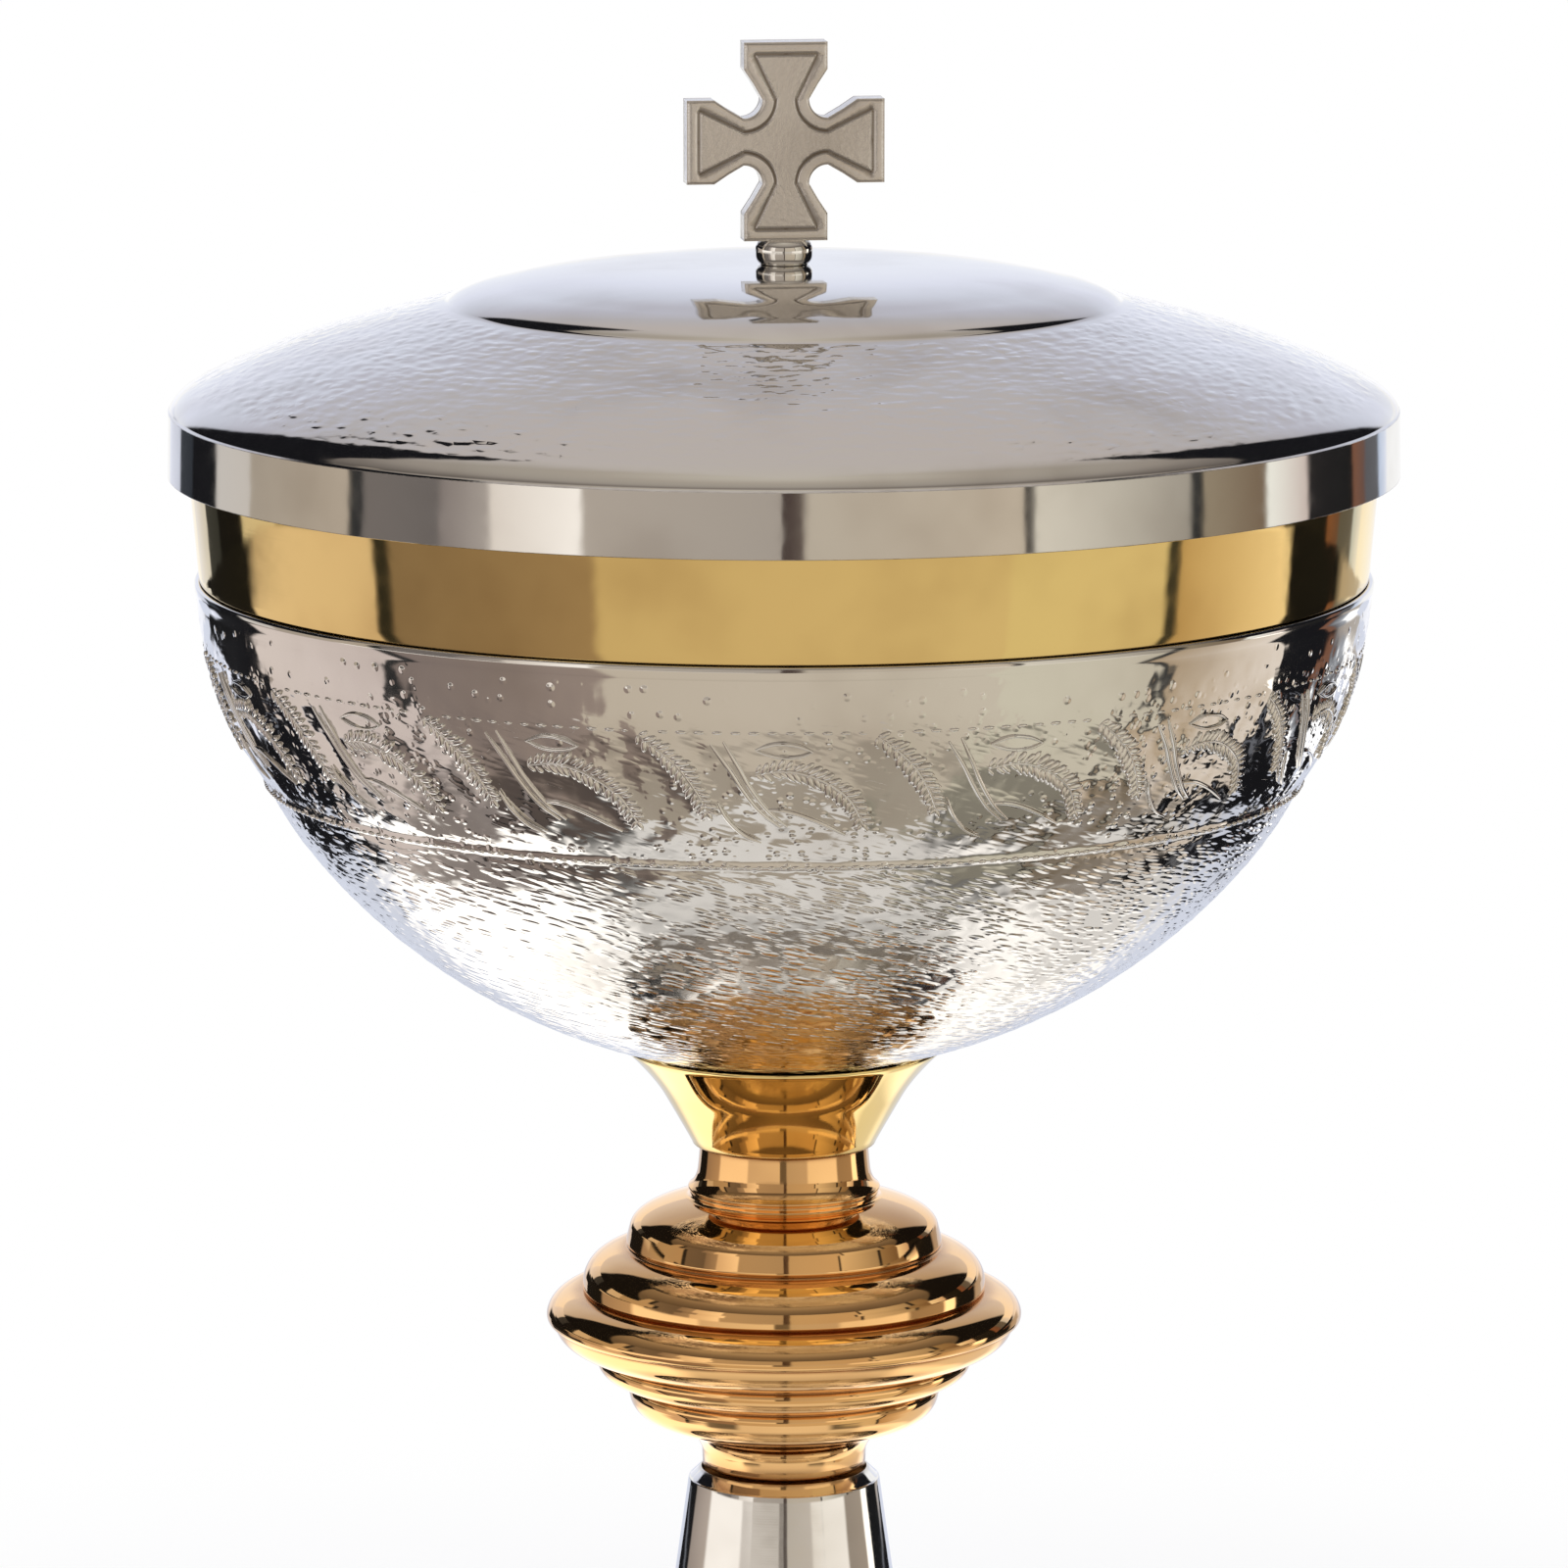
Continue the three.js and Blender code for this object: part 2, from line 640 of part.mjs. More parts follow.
const vessel = new THREE.Group();
add(vessel, "cup", cup(), yellowGold());
add(vessel, "cup_sheath", cupSheath(), hammeredSilver());
add(vessel, "cup_boss", cupBoss(), plainBrass());
add(vessel, "tie_rod", tieRod(), plainSteel());
add(vessel, "collar", collar(), yellowGold());
add(vessel, "knop_upper_shell", knopUpperShell(), redGold());
add(vessel, "knop_lower_shell", knopLowerShell(), redGold());
add(vessel, "knop_top_washer", knopTopWasher(), plainBrass());
add(vessel, "knop_core_tube", knopCoreTube(), plainBrass());
add(vessel, "knop_bottom_washer", knopBottomWasher(), plainBrass());
add(vessel, "foot_shell", footShell(), hammeredSilver());
add(vessel, "foot_top_disc", footTopDisc(), plainBrass());
add(vessel, "foot_washer", footWasher(), plainSteel());
add(vessel, "foot_spring_washer", footSpringWasher(), plainSteel());
add(vessel, "foot_nut", footNut(), plainSteel());
add(vessel, "foot_base_ring", footBaseRing(), plainBrass());

const lid = new THREE.Group();
lid.position.z = skirtBottom;
add(lid, "lid_shell", lidShell(), hammeredSilver());
add(lid, "lid_locating_ring", lidLocatingRing(), polishedSilver());
add(lid, "cross_bead", crossBead(), polishedSilver());
add(lid, "cross", cross(), castSilver());
add(lid, "cross_stud", crossStud(), plainSteel());
add(lid, "cross_washer", crossWasher(), plainSteel());
add(lid, "cross_nut", crossNut(), plainSteel());

const ciborium = new THREE.Group();
ciborium.add(vessel, lid);

export default ciborium;
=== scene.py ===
"""Builds the looks of the covered ciborium around its packed frame: a hammered silver bowl and lid,
a gold-lined cup, a ringed gold knop and a silver trumpet foot. Metres, +Z up."""

import math

import bpy
import numpy as np
from bpy.props import FloatProperty, FloatVectorProperty, IntProperty, PointerProperty
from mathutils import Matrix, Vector
from mathutils.geometry import delaunay_2d_cdt


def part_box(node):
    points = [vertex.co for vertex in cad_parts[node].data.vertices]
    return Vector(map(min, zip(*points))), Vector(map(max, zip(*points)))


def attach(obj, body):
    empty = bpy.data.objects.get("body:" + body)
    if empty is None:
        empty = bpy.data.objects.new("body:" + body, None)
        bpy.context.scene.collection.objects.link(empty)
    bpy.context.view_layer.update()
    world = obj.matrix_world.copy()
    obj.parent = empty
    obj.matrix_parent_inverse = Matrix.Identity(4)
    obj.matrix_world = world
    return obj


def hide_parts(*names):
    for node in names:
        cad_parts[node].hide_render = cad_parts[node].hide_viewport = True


bl_info = {
    "name": "Covered ciborium",
    "version": (1, 0, 0),
    "blender": (4, 5, 0),
    "location": "3D View > Sidebar > Ciborium",
    "description": "Hammered silver and gold ciborium with a lid, built around its packed frame",
    "category": "Object",
}

MM = 0.001
TINY = 1e-9
TURN = 2 * math.pi

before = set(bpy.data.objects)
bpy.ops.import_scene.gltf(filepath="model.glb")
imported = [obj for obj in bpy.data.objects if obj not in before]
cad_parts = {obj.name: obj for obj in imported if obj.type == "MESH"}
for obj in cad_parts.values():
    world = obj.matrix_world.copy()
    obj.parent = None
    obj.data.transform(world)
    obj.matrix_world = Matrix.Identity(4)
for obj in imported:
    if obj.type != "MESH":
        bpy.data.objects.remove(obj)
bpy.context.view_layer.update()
BOXES = {name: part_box(name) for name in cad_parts}

# Radius of the hole that the cross's stud passes through, and of the hole under the bowl
STUD_HOLE = 1.4 * MM
BOWL_HOLE = 8.3 * MM
# Depth below the sheath's rim at which the frieze's widths are measured, and the frieze's turn from
# the side that faces the camera
FRIEZE_MIDDLE = 14 * MM
FRIEZE_TURN = math.radians(0.5)


def cad_low(node):
    return BOXES[node][0]


def cad_high(node):
    return BOXES[node][1]


# Sizes and finishes that a user may change


def length(name, description, default):
    return FloatProperty(
        name=name, description=description, default=default, min=0.0, unit="LENGTH", precision=5
    )


def colour(name, description, default):
    return FloatVectorProperty(
        name=name, description=description, default=default, min=0.0, max=1.0, size=3, subtype="COLOR"
    )


class BowlSizes(bpy.types.PropertyGroup):
    """Sizes of the cup and of the hammered sheath that holds it"""

    radius: length("Radius", "Outer radius of the sheath at its rim", cad_high("cup_sheath").x)
    depth: length("Depth", "Depth of the bowl's curve", 54.5 * MM)
    power: FloatProperty(
        name="Fullness", description="Power of the bowl's curve, 2 for an ellipse", default=1.75, min=1.0
    )
    sheath_wall: length("Sheath wall", "Thickness of the silver sheath", 0.8 * MM)
    cup_inset: length("Cup inset", "How far the cup's outside lies inside the sheath's", 1.1 * MM)
    cup_wall: length("Cup wall", "Thickness of the gold-lined cup", 1.0 * MM)
    lip: length("Lip", "How far the sheath's rolled lip stands proud of the bowl", 0.15 * MM)
    band_inset: length("Band inset", "Step in from the sheath to the foot of the gold band", 0.4 * MM)
    band_flare: length("Band flare", "How much wider the gold band is at its top", 1.0 * MM)
    frieze_top: length("Frieze top", "Depth of the punched line below the sheath's rim", 7.0 * MM)
    frieze_bottom: length("Frieze bottom", "Depth of the raised line below the rim", 22.4 * MM)
    hammer_height: length("Hammer height", "Height of the hammered marks", 0.075 * MM)


class LidSizes(bpy.types.PropertyGroup):
    """Sizes of the lid"""

    radius: length("Radius", "Radius of the skirt at its top", 67.05 * MM)
    flare: length("Flare", "How much wider the skirt is at its lower edge", 0.15 * MM)
    skirt: length("Skirt", "Height of the polished skirt", 7.05 * MM)
    rise: length("Rise", "Height of the hammered dome above the skirt", 11.55 * MM)
    boss_radius: length("Boss radius", "Radius of the polished boss", 36.8 * MM)
    boss_rise: length("Boss rise", "Height of the polished boss", 4.0 * MM)
    wall: length("Wall", "Thickness of the lid", 1.2 * MM)
    hammer_height: length("Hammer height", "Height of the hammered marks", 0.09 * MM)


class StemSizes(bpy.types.PropertyGroup):
    """Sizes of the collar, the knop and the foot"""

    collar_mouth: length("Collar mouth", "Radius of the collar under the bowl", 17.5 * MM)
    collar_waist: length("Collar waist", "Radius of the collar at its waist", 11.3 * MM)
    knop_radius: length("Knop radius", "Radius of the widest ring", 26.4 * MM)
    wall: length("Wall", "Thickness of the turned shells", 1.2 * MM)
    foot_radius: length("Foot radius", "Radius of the foot at the table", 58 * MM)
    foot_mouth: length("Foot mouth", "Radius of the foot at its top", 10.6 * MM)
    foot_flare: FloatProperty(
        name="Foot flare", description="Power of the trumpet's curve", default=4.6, min=1.0
    )


class CrossSizes(bpy.types.PropertyGroup):
    """Sizes of the cross"""

    span: length("Span", "Height and width of the cross", 21.6 * MM)
    thickness: length("Thickness", "Thickness of the cross", 3.6 * MM)
    arm_end: length("Arm end", "Width of each arm's end", 9.12 * MM)
    groove: length("Groove", "Width of the line round the grained panel", 0.45 * MM)
    groove_depth: length("Groove depth", "Depth of that line", 0.25 * MM)
    grain: length("Grain", "Height of the panel's cast grain", 0.035 * MM)


class WheatSizes(bpy.types.PropertyGroup):
    """Sizes of the wheat frieze"""

    modules: IntProperty(name="Stalks", description="Wheat stalks round the bowl", default=16, min=3)
    grain_length: length("Grain length", "Length of one grain", 1.75 * MM)
    grain_width: length("Grain width", "Width of one grain", 0.68 * MM)
    relief: length("Relief", "How far the wheat stands out", 0.2 * MM)
    spacing: length("Spacing", "Distance between the grains of an ear", 0.78 * MM)
    swell: length("Swell", "How far the metal is raised under the ears", 0.27 * MM)


class Finishes(bpy.types.PropertyGroup):
    """Colours of the metals"""

    silver: colour("Silver", "Polished silver plate", (0.86, 0.85, 0.83))
    cast_silver: colour("Cast silver", "The cross", (0.76, 0.73, 0.70))
    yellow_gold: colour("Yellow gold", "The cup, its band and the collar", (0.99, 0.76, 0.33))
    red_gold: colour("Red gold", "The knop", (0.98, 0.60, 0.26))
    brass: colour("Brass", "Inner rings and washers", (0.78, 0.61, 0.32))
    steel: colour("Steel", "Rod, nuts and washers", (0.56, 0.56, 0.57))
    floor: colour("Floor", "The pale floor", (0.90, 0.90, 0.91))


class StudioSizes(bpy.types.PropertyGroup):
    """Place of the camera and level of the light"""

    distance: length("Distance", "Distance of the camera from the object's axis", 1.0)
    height: length("Height", "Height of the camera", 0.322)
    azimuth: FloatProperty(
        name="Azimuth", description="Camera round the object", default=math.radians(-7.5), subtype="ANGLE"
    )
    pitch: FloatProperty(
        name="Pitch", description="Camera's tilt below the horizon", default=math.radians(9.92),
        subtype="ANGLE",
    )
    lens: FloatProperty(name="Lens", description="Focal length in millimetres", default=212.15, min=1.0)
    fill: FloatProperty(
        name="Fill", description="Level of the soft light all round", default=0.92, min=0.0, max=2.0,
        subtype="FACTOR",
    )
    key: FloatProperty(name="Key", description="Power of the overhead softbox", default=5.0, min=0.0)


GROUPS = {
    "bowl": BowlSizes,
    "lid": LidSizes,
    "stem": StemSizes,
    "cross": CrossSizes,
    "wheat": WheatSizes,
    "finish": Finishes,
    "studio": StudioSizes,
}


class CiboriumSettings(bpy.types.PropertyGroup):
    """All the settings of the ciborium"""

    bowl: PointerProperty(type=BowlSizes)
    lid: PointerProperty(type=LidSizes)
    stem: PointerProperty(type=StemSizes)
    cross: PointerProperty(type=CrossSizes)
    wheat: PointerProperty(type=WheatSizes)
    finish: PointerProperty(type=Finishes)
    studio: PointerProperty(type=StudioSizes)


# Node trees


class Nodes:
    """Adds nodes to a tree and links them."""

    def __init__(self, tree):
        self.tree = tree
        tree.nodes.clear()

    def add(self, kind, inputs=None, **settings):
        node = self.tree.nodes.new(kind)
        for key, value in settings.items():
            setattr(node, key, value)
        for key, value in (inputs or {}).items():
            self.put(node.inputs[key], value)
        return node

    def put(self, socket, value):
        """Links a socket, or sets it. None leaves it as it is."""
        if isinstance(value, bpy.types.NodeSocket):
            self.tree.links.new(value, socket)
        elif value is not None:
            socket.default_value = value

    def math(self, operation, *values):
        return self.add("ShaderNodeMath", dict(enumerate(values)), operation=operation).outputs[0]

    def vector(self, operation, *values):
        node = self.add("ShaderNodeVectorMath", dict(enumerate(values)), operation=operation)
        return node.outputs["Value" if operation in ("LENGTH", "DOT_PRODUCT") else "Vector"]

    def scale(self, value, start, end, low=0.0, high=1.0, kind="LINEAR"):
        """A value mapped from low at start to high at end, and level outside them."""
        span = {"Value": value, "From Min": start, "From Max": end, "To Min": low, "To Max": high}
        return self.add("ShaderNodeMapRange", span, interpolation_type=kind).outputs["Result"]

    def step(self, value, start, end, low=0.0, high=1.0):
        """The same along a soft step."""
        return self.scale(value, start, end, low, high, "SMOOTHSTEP")

    def mix(self, share_of_second, first, second):
        """Two colours, mixed. The node has sockets of the same names for other kinds."""
        node = self.add("ShaderNodeMix", data_type="RGBA")
        self.put(node.inputs["Factor"], share_of_second)
        for name, value in (("A", first), ("B", second)):
            socket = [s for s in node.inputs if s.name == name and s.type == "RGBA"][0]
            self.put(socket, (*value, 1) if isinstance(value, tuple) else value)
        return [s for s in node.outputs if s.type == "RGBA"][0]

    def ramp(self, value, stops):
        """A colour ramp through (position, colour) stops, in any order."""
        node = self.add("ShaderNodeValToRGB", {"Fac": value})
        elements = node.color_ramp.elements
        while len(elements) < len(stops):
            elements.new(1.0)
        for element, (position, rgb) in zip(elements, sorted(stops, key=lambda s: s[0])):
            element.position = position
            element.color = (*rgb, 1)
        return node.outputs["Color"]

    def noise(self, vector, scale, detail=2.0, roughness=0.5):
        node = self.add(
            "ShaderNodeTexNoise",
            {"Vector": vector, "Scale": scale, "Detail": detail, "Roughness": roughness},
        )
        return node.outputs["Fac"]

    def place(self):
        """Where a point lies on the piece, in metres."""
        return self.add("ShaderNodeTexCoord").outputs["Object"]

    def stored(self, name):
        """A value that the mesh keeps at each of its points."""
        return self.add("ShaderNodeAttribute", attribute_name=name).outputs["Fac"]

    def split(self, vector):
        """The X, Y and Z of a vector."""
        parts = self.add("ShaderNodeSeparateXYZ", {"Vector": vector}).outputs
        return parts["X"], parts["Y"], parts["Z"]

    def join(self, x=None, y=None, z=None):
        """A vector from its X, Y and Z."""
        return self.add("ShaderNodeCombineXYZ", {"X": x, "Y": y, "Z": z}).outputs["Vector"]

    def times(self, vector, factor):
        """A vector or a colour, multiplied by a number."""
        node = self.add("ShaderNodeVectorMath", {0: vector, "Scale": factor}, operation="SCALE")
        return node.outputs["Vector"]

    def blend(self, share_of_second, first, second):
        """Two shaders, mixed."""
        node = self.add("ShaderNodeMixShader", {0: share_of_second})
        self.put(node.inputs[1], first.outputs[0])
        self.put(node.inputs[2], second.outputs[0])
        return node

    def end_in(self, shader, kind="ShaderNodeOutputMaterial"):
        """The tree's output, fed by the shader."""
        self.put(self.add(kind).inputs["Surface"], shader.outputs[0])


def new_material(name):
    """An empty material, and its nodes."""
    material = bpy.data.materials.new(name)
    material.use_nodes = True
    return material, Nodes(material.node_tree)


# Finishes


def metal(name, base, roughness, tarnish, marks=None, polish=True):
    """A metal with faint tarnish in clouds, and darker where the mesh's attribute for painted shade and
    tarnish asks for it: painted shade in grooves, creases and joints, with tarnish.
    polish adds cloudy polish and fine turning lines to its bump, and marks adds its own. Noise scales are per
    metre."""
    material, nodes = new_material(name)
    place = nodes.place()
    base = tuple(base)
    dull = tuple(0.88 * b * (0.8 + 0.2 * t) for b, t in zip(base, tarnish))
    # The darker, browner colour of painted shade in grooves, creases and joints, with tarnish, where the mesh
    # asks for it
    shade_and_tarnish_colour = tuple(0.5 * b * t for b, t in zip(base, tarnish))
    shade_and_tarnish_share = nodes.stored("grime")
    tint = nodes.mix(nodes.step(nodes.noise(place, 55, 3), 0.42, 0.8), base, dull)
    tint = nodes.mix(shade_and_tarnish_share, tint, shade_and_tarnish_colour)
    heights = []
    if polish:
        x, y, z = nodes.split(place)
        lines = nodes.join(nodes.vector("LENGTH", nodes.join(x, y)), None, z)
        heights.append((nodes.noise(lines, 5200, 3, 0.7), 0.0006 * MM))
        heights.append((nodes.noise(place, 160, 2), 0.02 * MM))
    if marks:
        heights += marks(nodes, place)
    normal = None
    for height, distance in heights:
        bump = nodes.add("ShaderNodeBump", {"Height": height, "Distance": distance, "Normal": normal})
        normal = bump.outputs["Normal"]
    rough = nodes.scale(nodes.noise(place, 420, 4), 0.3, 0.75, roughness, roughness * 1.3 + 0.035)
    rough = nodes.math("MULTIPLY_ADD", shade_and_tarnish_share, 0.25, rough)
    shader = nodes.add(
        "ShaderNodeBsdfPrincipled",
        {"Base Color": tint, "Metallic": 1.0, "Roughness": rough, "Normal": normal},
    )
    nodes.end_in(shader)
    return material


def hammer_marks(nodes, place):
    """Planishing strokes, punched matting and scattered droplets, where their attributes ask for them."""
    x, y, _ = nodes.split(place)
    stretched = nodes.join(x, y, nodes.math("MULTIPLY", nodes.stored("run"), 3.5))
    wobble = nodes.add("ShaderNodeTexNoise", {"Vector": place, "Scale": 210.0}).outputs["Color"]
    stretched = nodes.vector("ADD", stretched, nodes.times(wobble, 1.6 * MM))

    def dots(vector, scale, reach, left_out):
        """Rounded marks in the cells of a pattern, some of which are left out."""
        spots = nodes.add("ShaderNodeTexVoronoi", {"Vector": vector, "Scale": scale}, feature="F1")
        chosen = nodes.add("ShaderNodeSeparateColor", {"Color": spots.outputs["Color"]}).outputs["Red"]
        kept = nodes.step(chosen, left_out - 0.04, left_out + 0.04)
        return nodes.math("MULTIPLY", nodes.step(spots.outputs["Distance"], reach, 0.05), kept)

    matting = nodes.stored("matting")
    strokes = nodes.math("MULTIPLY", dots(stretched, 430.0, 0.66, 0.1), nodes.stored("hammer"))
    patches = nodes.step(nodes.noise(place, 75, 2), 0.4, 0.6)
    punches = nodes.math("MULTIPLY", dots(place, 900.0, 0.45, 0.3), matting)
    punches = nodes.math("MULTIPLY", punches, patches)
    dents = nodes.math("SUBTRACT", nodes.noise(place, 130, 2), 0.5)
    dents = nodes.math("MULTIPLY", dents, matting)
    drops = nodes.math("MULTIPLY", dots(place, 640.0, 0.36, 0.58), nodes.stored("droplets"))
    return [(strokes, 0.1 * MM), (punches, 0.1 * MM), (dents, 0.9 * MM), (drops, 0.08 * MM)]


def cast_grain(nodes, place):
    """The sandy skin of a casting, strongest on the panel, with a few small pits."""
    grained = nodes.math("MULTIPLY_ADD", nodes.stored("matting"), 0.8, 0.2)
    sand = nodes.math("MULTIPLY", nodes.noise(place, 2600, 4, 0.65), grained)
    return [(sand, 0.1 * MM), (nodes.noise(place, 500, 2), 0.03 * MM)]


def finish(name):
    """One of the metals of the ciborium, made when it is first asked for."""
    colours = bpy.context.scene.ciborium.finish
    warm = (0.62, 0.5, 0.38)
    recipes = {
        "silver_plate_polished": (colours.silver, 0.025, warm),
        "silver_plate_hammered": (colours.silver, 0.04, warm, hammer_marks),
        "silver_cast_grained": (colours.cast_silver, 0.19, (0.5, 0.4, 0.3), cast_grain, False),
        "gold_plate_yellow": (colours.yellow_gold, 0.03, (0.55, 0.32, 0.2)),
        "gold_plate_rose": (colours.red_gold, 0.03, (0.5, 0.22, 0.12)),
        "brass_turned": (colours.brass, 0.28, (0.5, 0.35, 0.2)),
        "steel_turned": (colours.steel, 0.3, (0.55, 0.5, 0.45)),
    }
    return bpy.data.materials.get(name) or metal(name, *recipes[name])


# Meshes


def placed(name, data):
    """An object of the scene that holds the data, at the origin."""
    thing = bpy.data.objects.new(name, data)
    bpy.context.scene.collection.objects.link(thing)
    return thing


def finish_mesh(name, mesh, material, attributes):
    """A smooth object from the mesh, in its metal and with its attributes, {name: value at each point}."""
    mesh.update()
    mesh.polygons.foreach_set("use_smooth", np.ones(len(mesh.polygons), bool))
    for key, values in attributes.items():
        attribute = mesh.attributes.new(key, "FLOAT", "POINT")
        attribute.data.foreach_set("value", np.asarray(values, np.float32).ravel())
    mesh.materials.append(finish(material))
    return placed(name, mesh)


def stands_for(thing, body, slot, *nodes):
    """thing rides on the body in place of the CAD nodes."""
    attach(thing, body)
    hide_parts(*nodes)


def grid_mesh(name, rings, segments, closed, poles):
    """A mesh from rings of points, shape (rings, segments, 3), joined to each other and, where the
    outline is closed, the last to the first. poles are the points that close an open outline's ends."""
    count = len(rings)
    points = rings.reshape(-1, 3)
    row = np.arange(count if closed else count - 1)[:, None]
    column = np.arange(segments)[None, :]
    this, after = row * segments, ((row + 1) % count) * segments
    right = (column + 1) % segments
    quads = np.stack([this + column, this + right, after + right, after + column], -1).reshape(-1, 4)
    if not closed:
        first, last = len(points), len(points) + 1
        points = np.concatenate([points, poles])
        here, there = np.arange(segments), (np.arange(segments) + 1) % segments
        top = (count - 1) * segments
        caps = np.concatenate(
            [
                np.stack([np.full(segments, first), there, here], -1),
                np.stack([np.full(segments, last), top + here, top + there], -1),
            ]
        )
    else:
        caps = np.zeros((0, 3), int)
    mesh = bpy.data.meshes.new(name)
    mesh.vertices.add(len(points))
    mesh.vertices.foreach_set("co", points.astype(np.float32).ravel())
    mesh.loops.add(quads.size + caps.size)
    mesh.loops.foreach_set("vertex_index", np.concatenate([quads.ravel(), caps.ravel()]).astype(np.int32))
    mesh.polygons.add(len(quads) + len(caps))
    starts = np.concatenate([np.arange(len(quads)) * 4, quads.size + np.arange(len(caps)) * 3])
    mesh.polygons.foreach_set("loop_start", starts.astype(np.int32))
    mesh.validate()
    return mesh


def outline_area(outline):
    """Area inside a closed outline, positive where it runs anticlockwise."""
    r, z = outline[:, 0], outline[:, 1]
    return 0.5 * np.sum(r * np.roll(z, -1) - np.roll(r, -1) * z)


def turned(name, outline, segments, material, relief=None, marks=None):
    """A piece turned round +Z from an outline of (radius, height) points: a closed loop, or one that
    starts and ends on the axis. relief(radius, height, angle) pushes it out along its normals.
    marks(radius, height, angle) gives its attributes."""
    outline = np.asarray(outline, float)
    if outline_area(outline) < 0:
        outline = outline[::-1]
    closed = outline[0, 0] > TINY
    ring_path = outline if closed else outline[1:-1]
    before = np.roll(outline, 1, 0) if closed else outline[:-2]
    after = np.roll(outline, -1, 0) if closed else outline[2:]
    along = after - before
    along /= np.linalg.norm(along, axis=1)[:, None]
    angle = np.arange(segments) * TURN / segments
    radius = ring_path[:, :1] + 0 * angle
    height = ring_path[:, 1:] + 0 * angle
    out = np.stack([along[:, 1], -along[:, 0]], -1)
    angles = angle[None, :] + 0 * radius
    # The relief and the attributes are for the outside, so the walls that face inwards are left plain
    facing_out = out[:, :1] > -0.2
    if relief:
        push = relief(radius, height, angles) * facing_out
        radius = radius + push * out[:, :1]
        height = height + push * out[:, 1:]
    rings = np.stack([radius * np.sin(angles), -radius * np.cos(angles), height], -1)
    poles = np.array([[0, 0, outline[0, 1]], [0, 0, outline[-1, 1]]])
    mesh = grid_mesh(name, rings, segments, closed, poles)
    attributes = {}
    for key, values in (marks(radius, height, angles) if marks else {}).items():
        flat = (values * np.ones_like(radius) * facing_out).ravel()
        attributes[key] = flat if closed else np.concatenate([flat, [0, 0]])
    return finish_mesh(name, mesh, material, attributes)


def curve_points(start, curves, steps=10):
    """The points of a path of quadratic curves, each (control, end)."""
    path = [np.array(start, float)]
    t = np.linspace(0, 1, steps + 1)[1:, None]
    for control, end in curves:
        a, b, c = path[-1], np.array(control, float), np.array(end, float)
        path.extend((1 - t) ** 2 * a + 2 * t * (1 - t) * b + t * t * c)
    return path


def rounded(outline, radius, steps=3):
    """The outline with its corners rounded, apart from those that bend by less than about 26 degrees."""
    bend_cosine = 0.9
    points = [np.array(p, float) for p in outline]
    made = []
    for i, point in enumerate(points):
        back, ahead = points[i - 1] - point, points[(i + 1) % len(points)] - point
        a, b = np.linalg.norm(back), np.linalg.norm(ahead)
        on_axis = point[0] < TINY
        if on_axis or min(a, b) < TINY or -back @ ahead / (a * b) > bend_cosine:
            made.append(point)
            continue
        reach = min(radius, 0.45 * a, 0.45 * b)
        start, end = point + back / a * reach, point + ahead / b * reach
        t = np.linspace(0, 1, steps + 2)[:, None]
        made.extend((1 - t) ** 2 * start + 2 * t * (1 - t) * point + t * t * end)
    return np.array(made)


def resampled(points, spacing):
    """The same path with points evenly spaced along it."""
    points = np.array(points, float)
    lengths = np.concatenate([[0], np.cumsum(np.linalg.norm(np.diff(points, axis=0), axis=1))])
    count = max(2, int(round(lengths[-1] / spacing)) + 1)
    wanted = np.linspace(0, lengths[-1], count)
    return np.stack([np.interp(wanted, lengths, points[:, k]) for k in (0, 1)], -1)


# Hammering


def scatter(a, b, seed):
    """A fixed random share for each pair of numbers."""
    value = np.sin(a * 127.1 + b * 311.7 + seed * 74.7) * 43758.5453
    return value - np.floor(value)


def hammering(path, angle, radius, row_pitch, mark_pitch, seed, slant=0.0):
    """Height from 0 to about 1 of rows of overlapping hammer marks. path is the distance down the piece."""
    disorder, spread, fade = 0.7, 0.62, 1.6
    row = np.floor(path / row_pitch)
    height = np.zeros_like(path)
    for row_step in (-1, 0, 1):
        r = row + row_step
        typical = np.interp(r * row_pitch, path[:, 0], radius[:, 0])
        count = np.maximum(12, np.round(TURN * typical / mark_pitch))
        turn = (angle / TURN + slant * path / row_pitch) * count + scatter(r, 7.0, seed)
        cell = np.floor(turn)
        for cell_step in (-1, 0, 1):
            c = cell + cell_step
            key = np.mod(c, count)
            across = (turn - c - 0.5 - disorder * (scatter(r, key, seed) - 0.5)) * mark_pitch
            down = path - (r + 0.5 + disorder * (scatter(r, key, seed + 1) - 0.5)) * row_pitch
            size = 0.6 + 0.5 * scatter(r, key, seed + 2)
            wide, tall = spread * size * mark_pitch, spread * size * row_pitch
            far = (across / wide) ** 2 + (down / tall) ** 2
            height = np.maximum(height, size * np.exp(-fade * far))
    return height


def soft_step(value, start, end):
    """0 up to start and 1 from end on, with a soft step between them."""
    t = np.clip((value - start) / (end - start), 0, 1)
    return t * t * (3 - 2 * t)


def path_down(radius, height):
    """Distance along the outline to each ring."""
    step = np.hypot(np.diff(radius[:, 0]), np.diff(height[:, 0]))
    return np.concatenate([[0], np.cumsum(step)])[:, None] + 0 * radius


# Lid


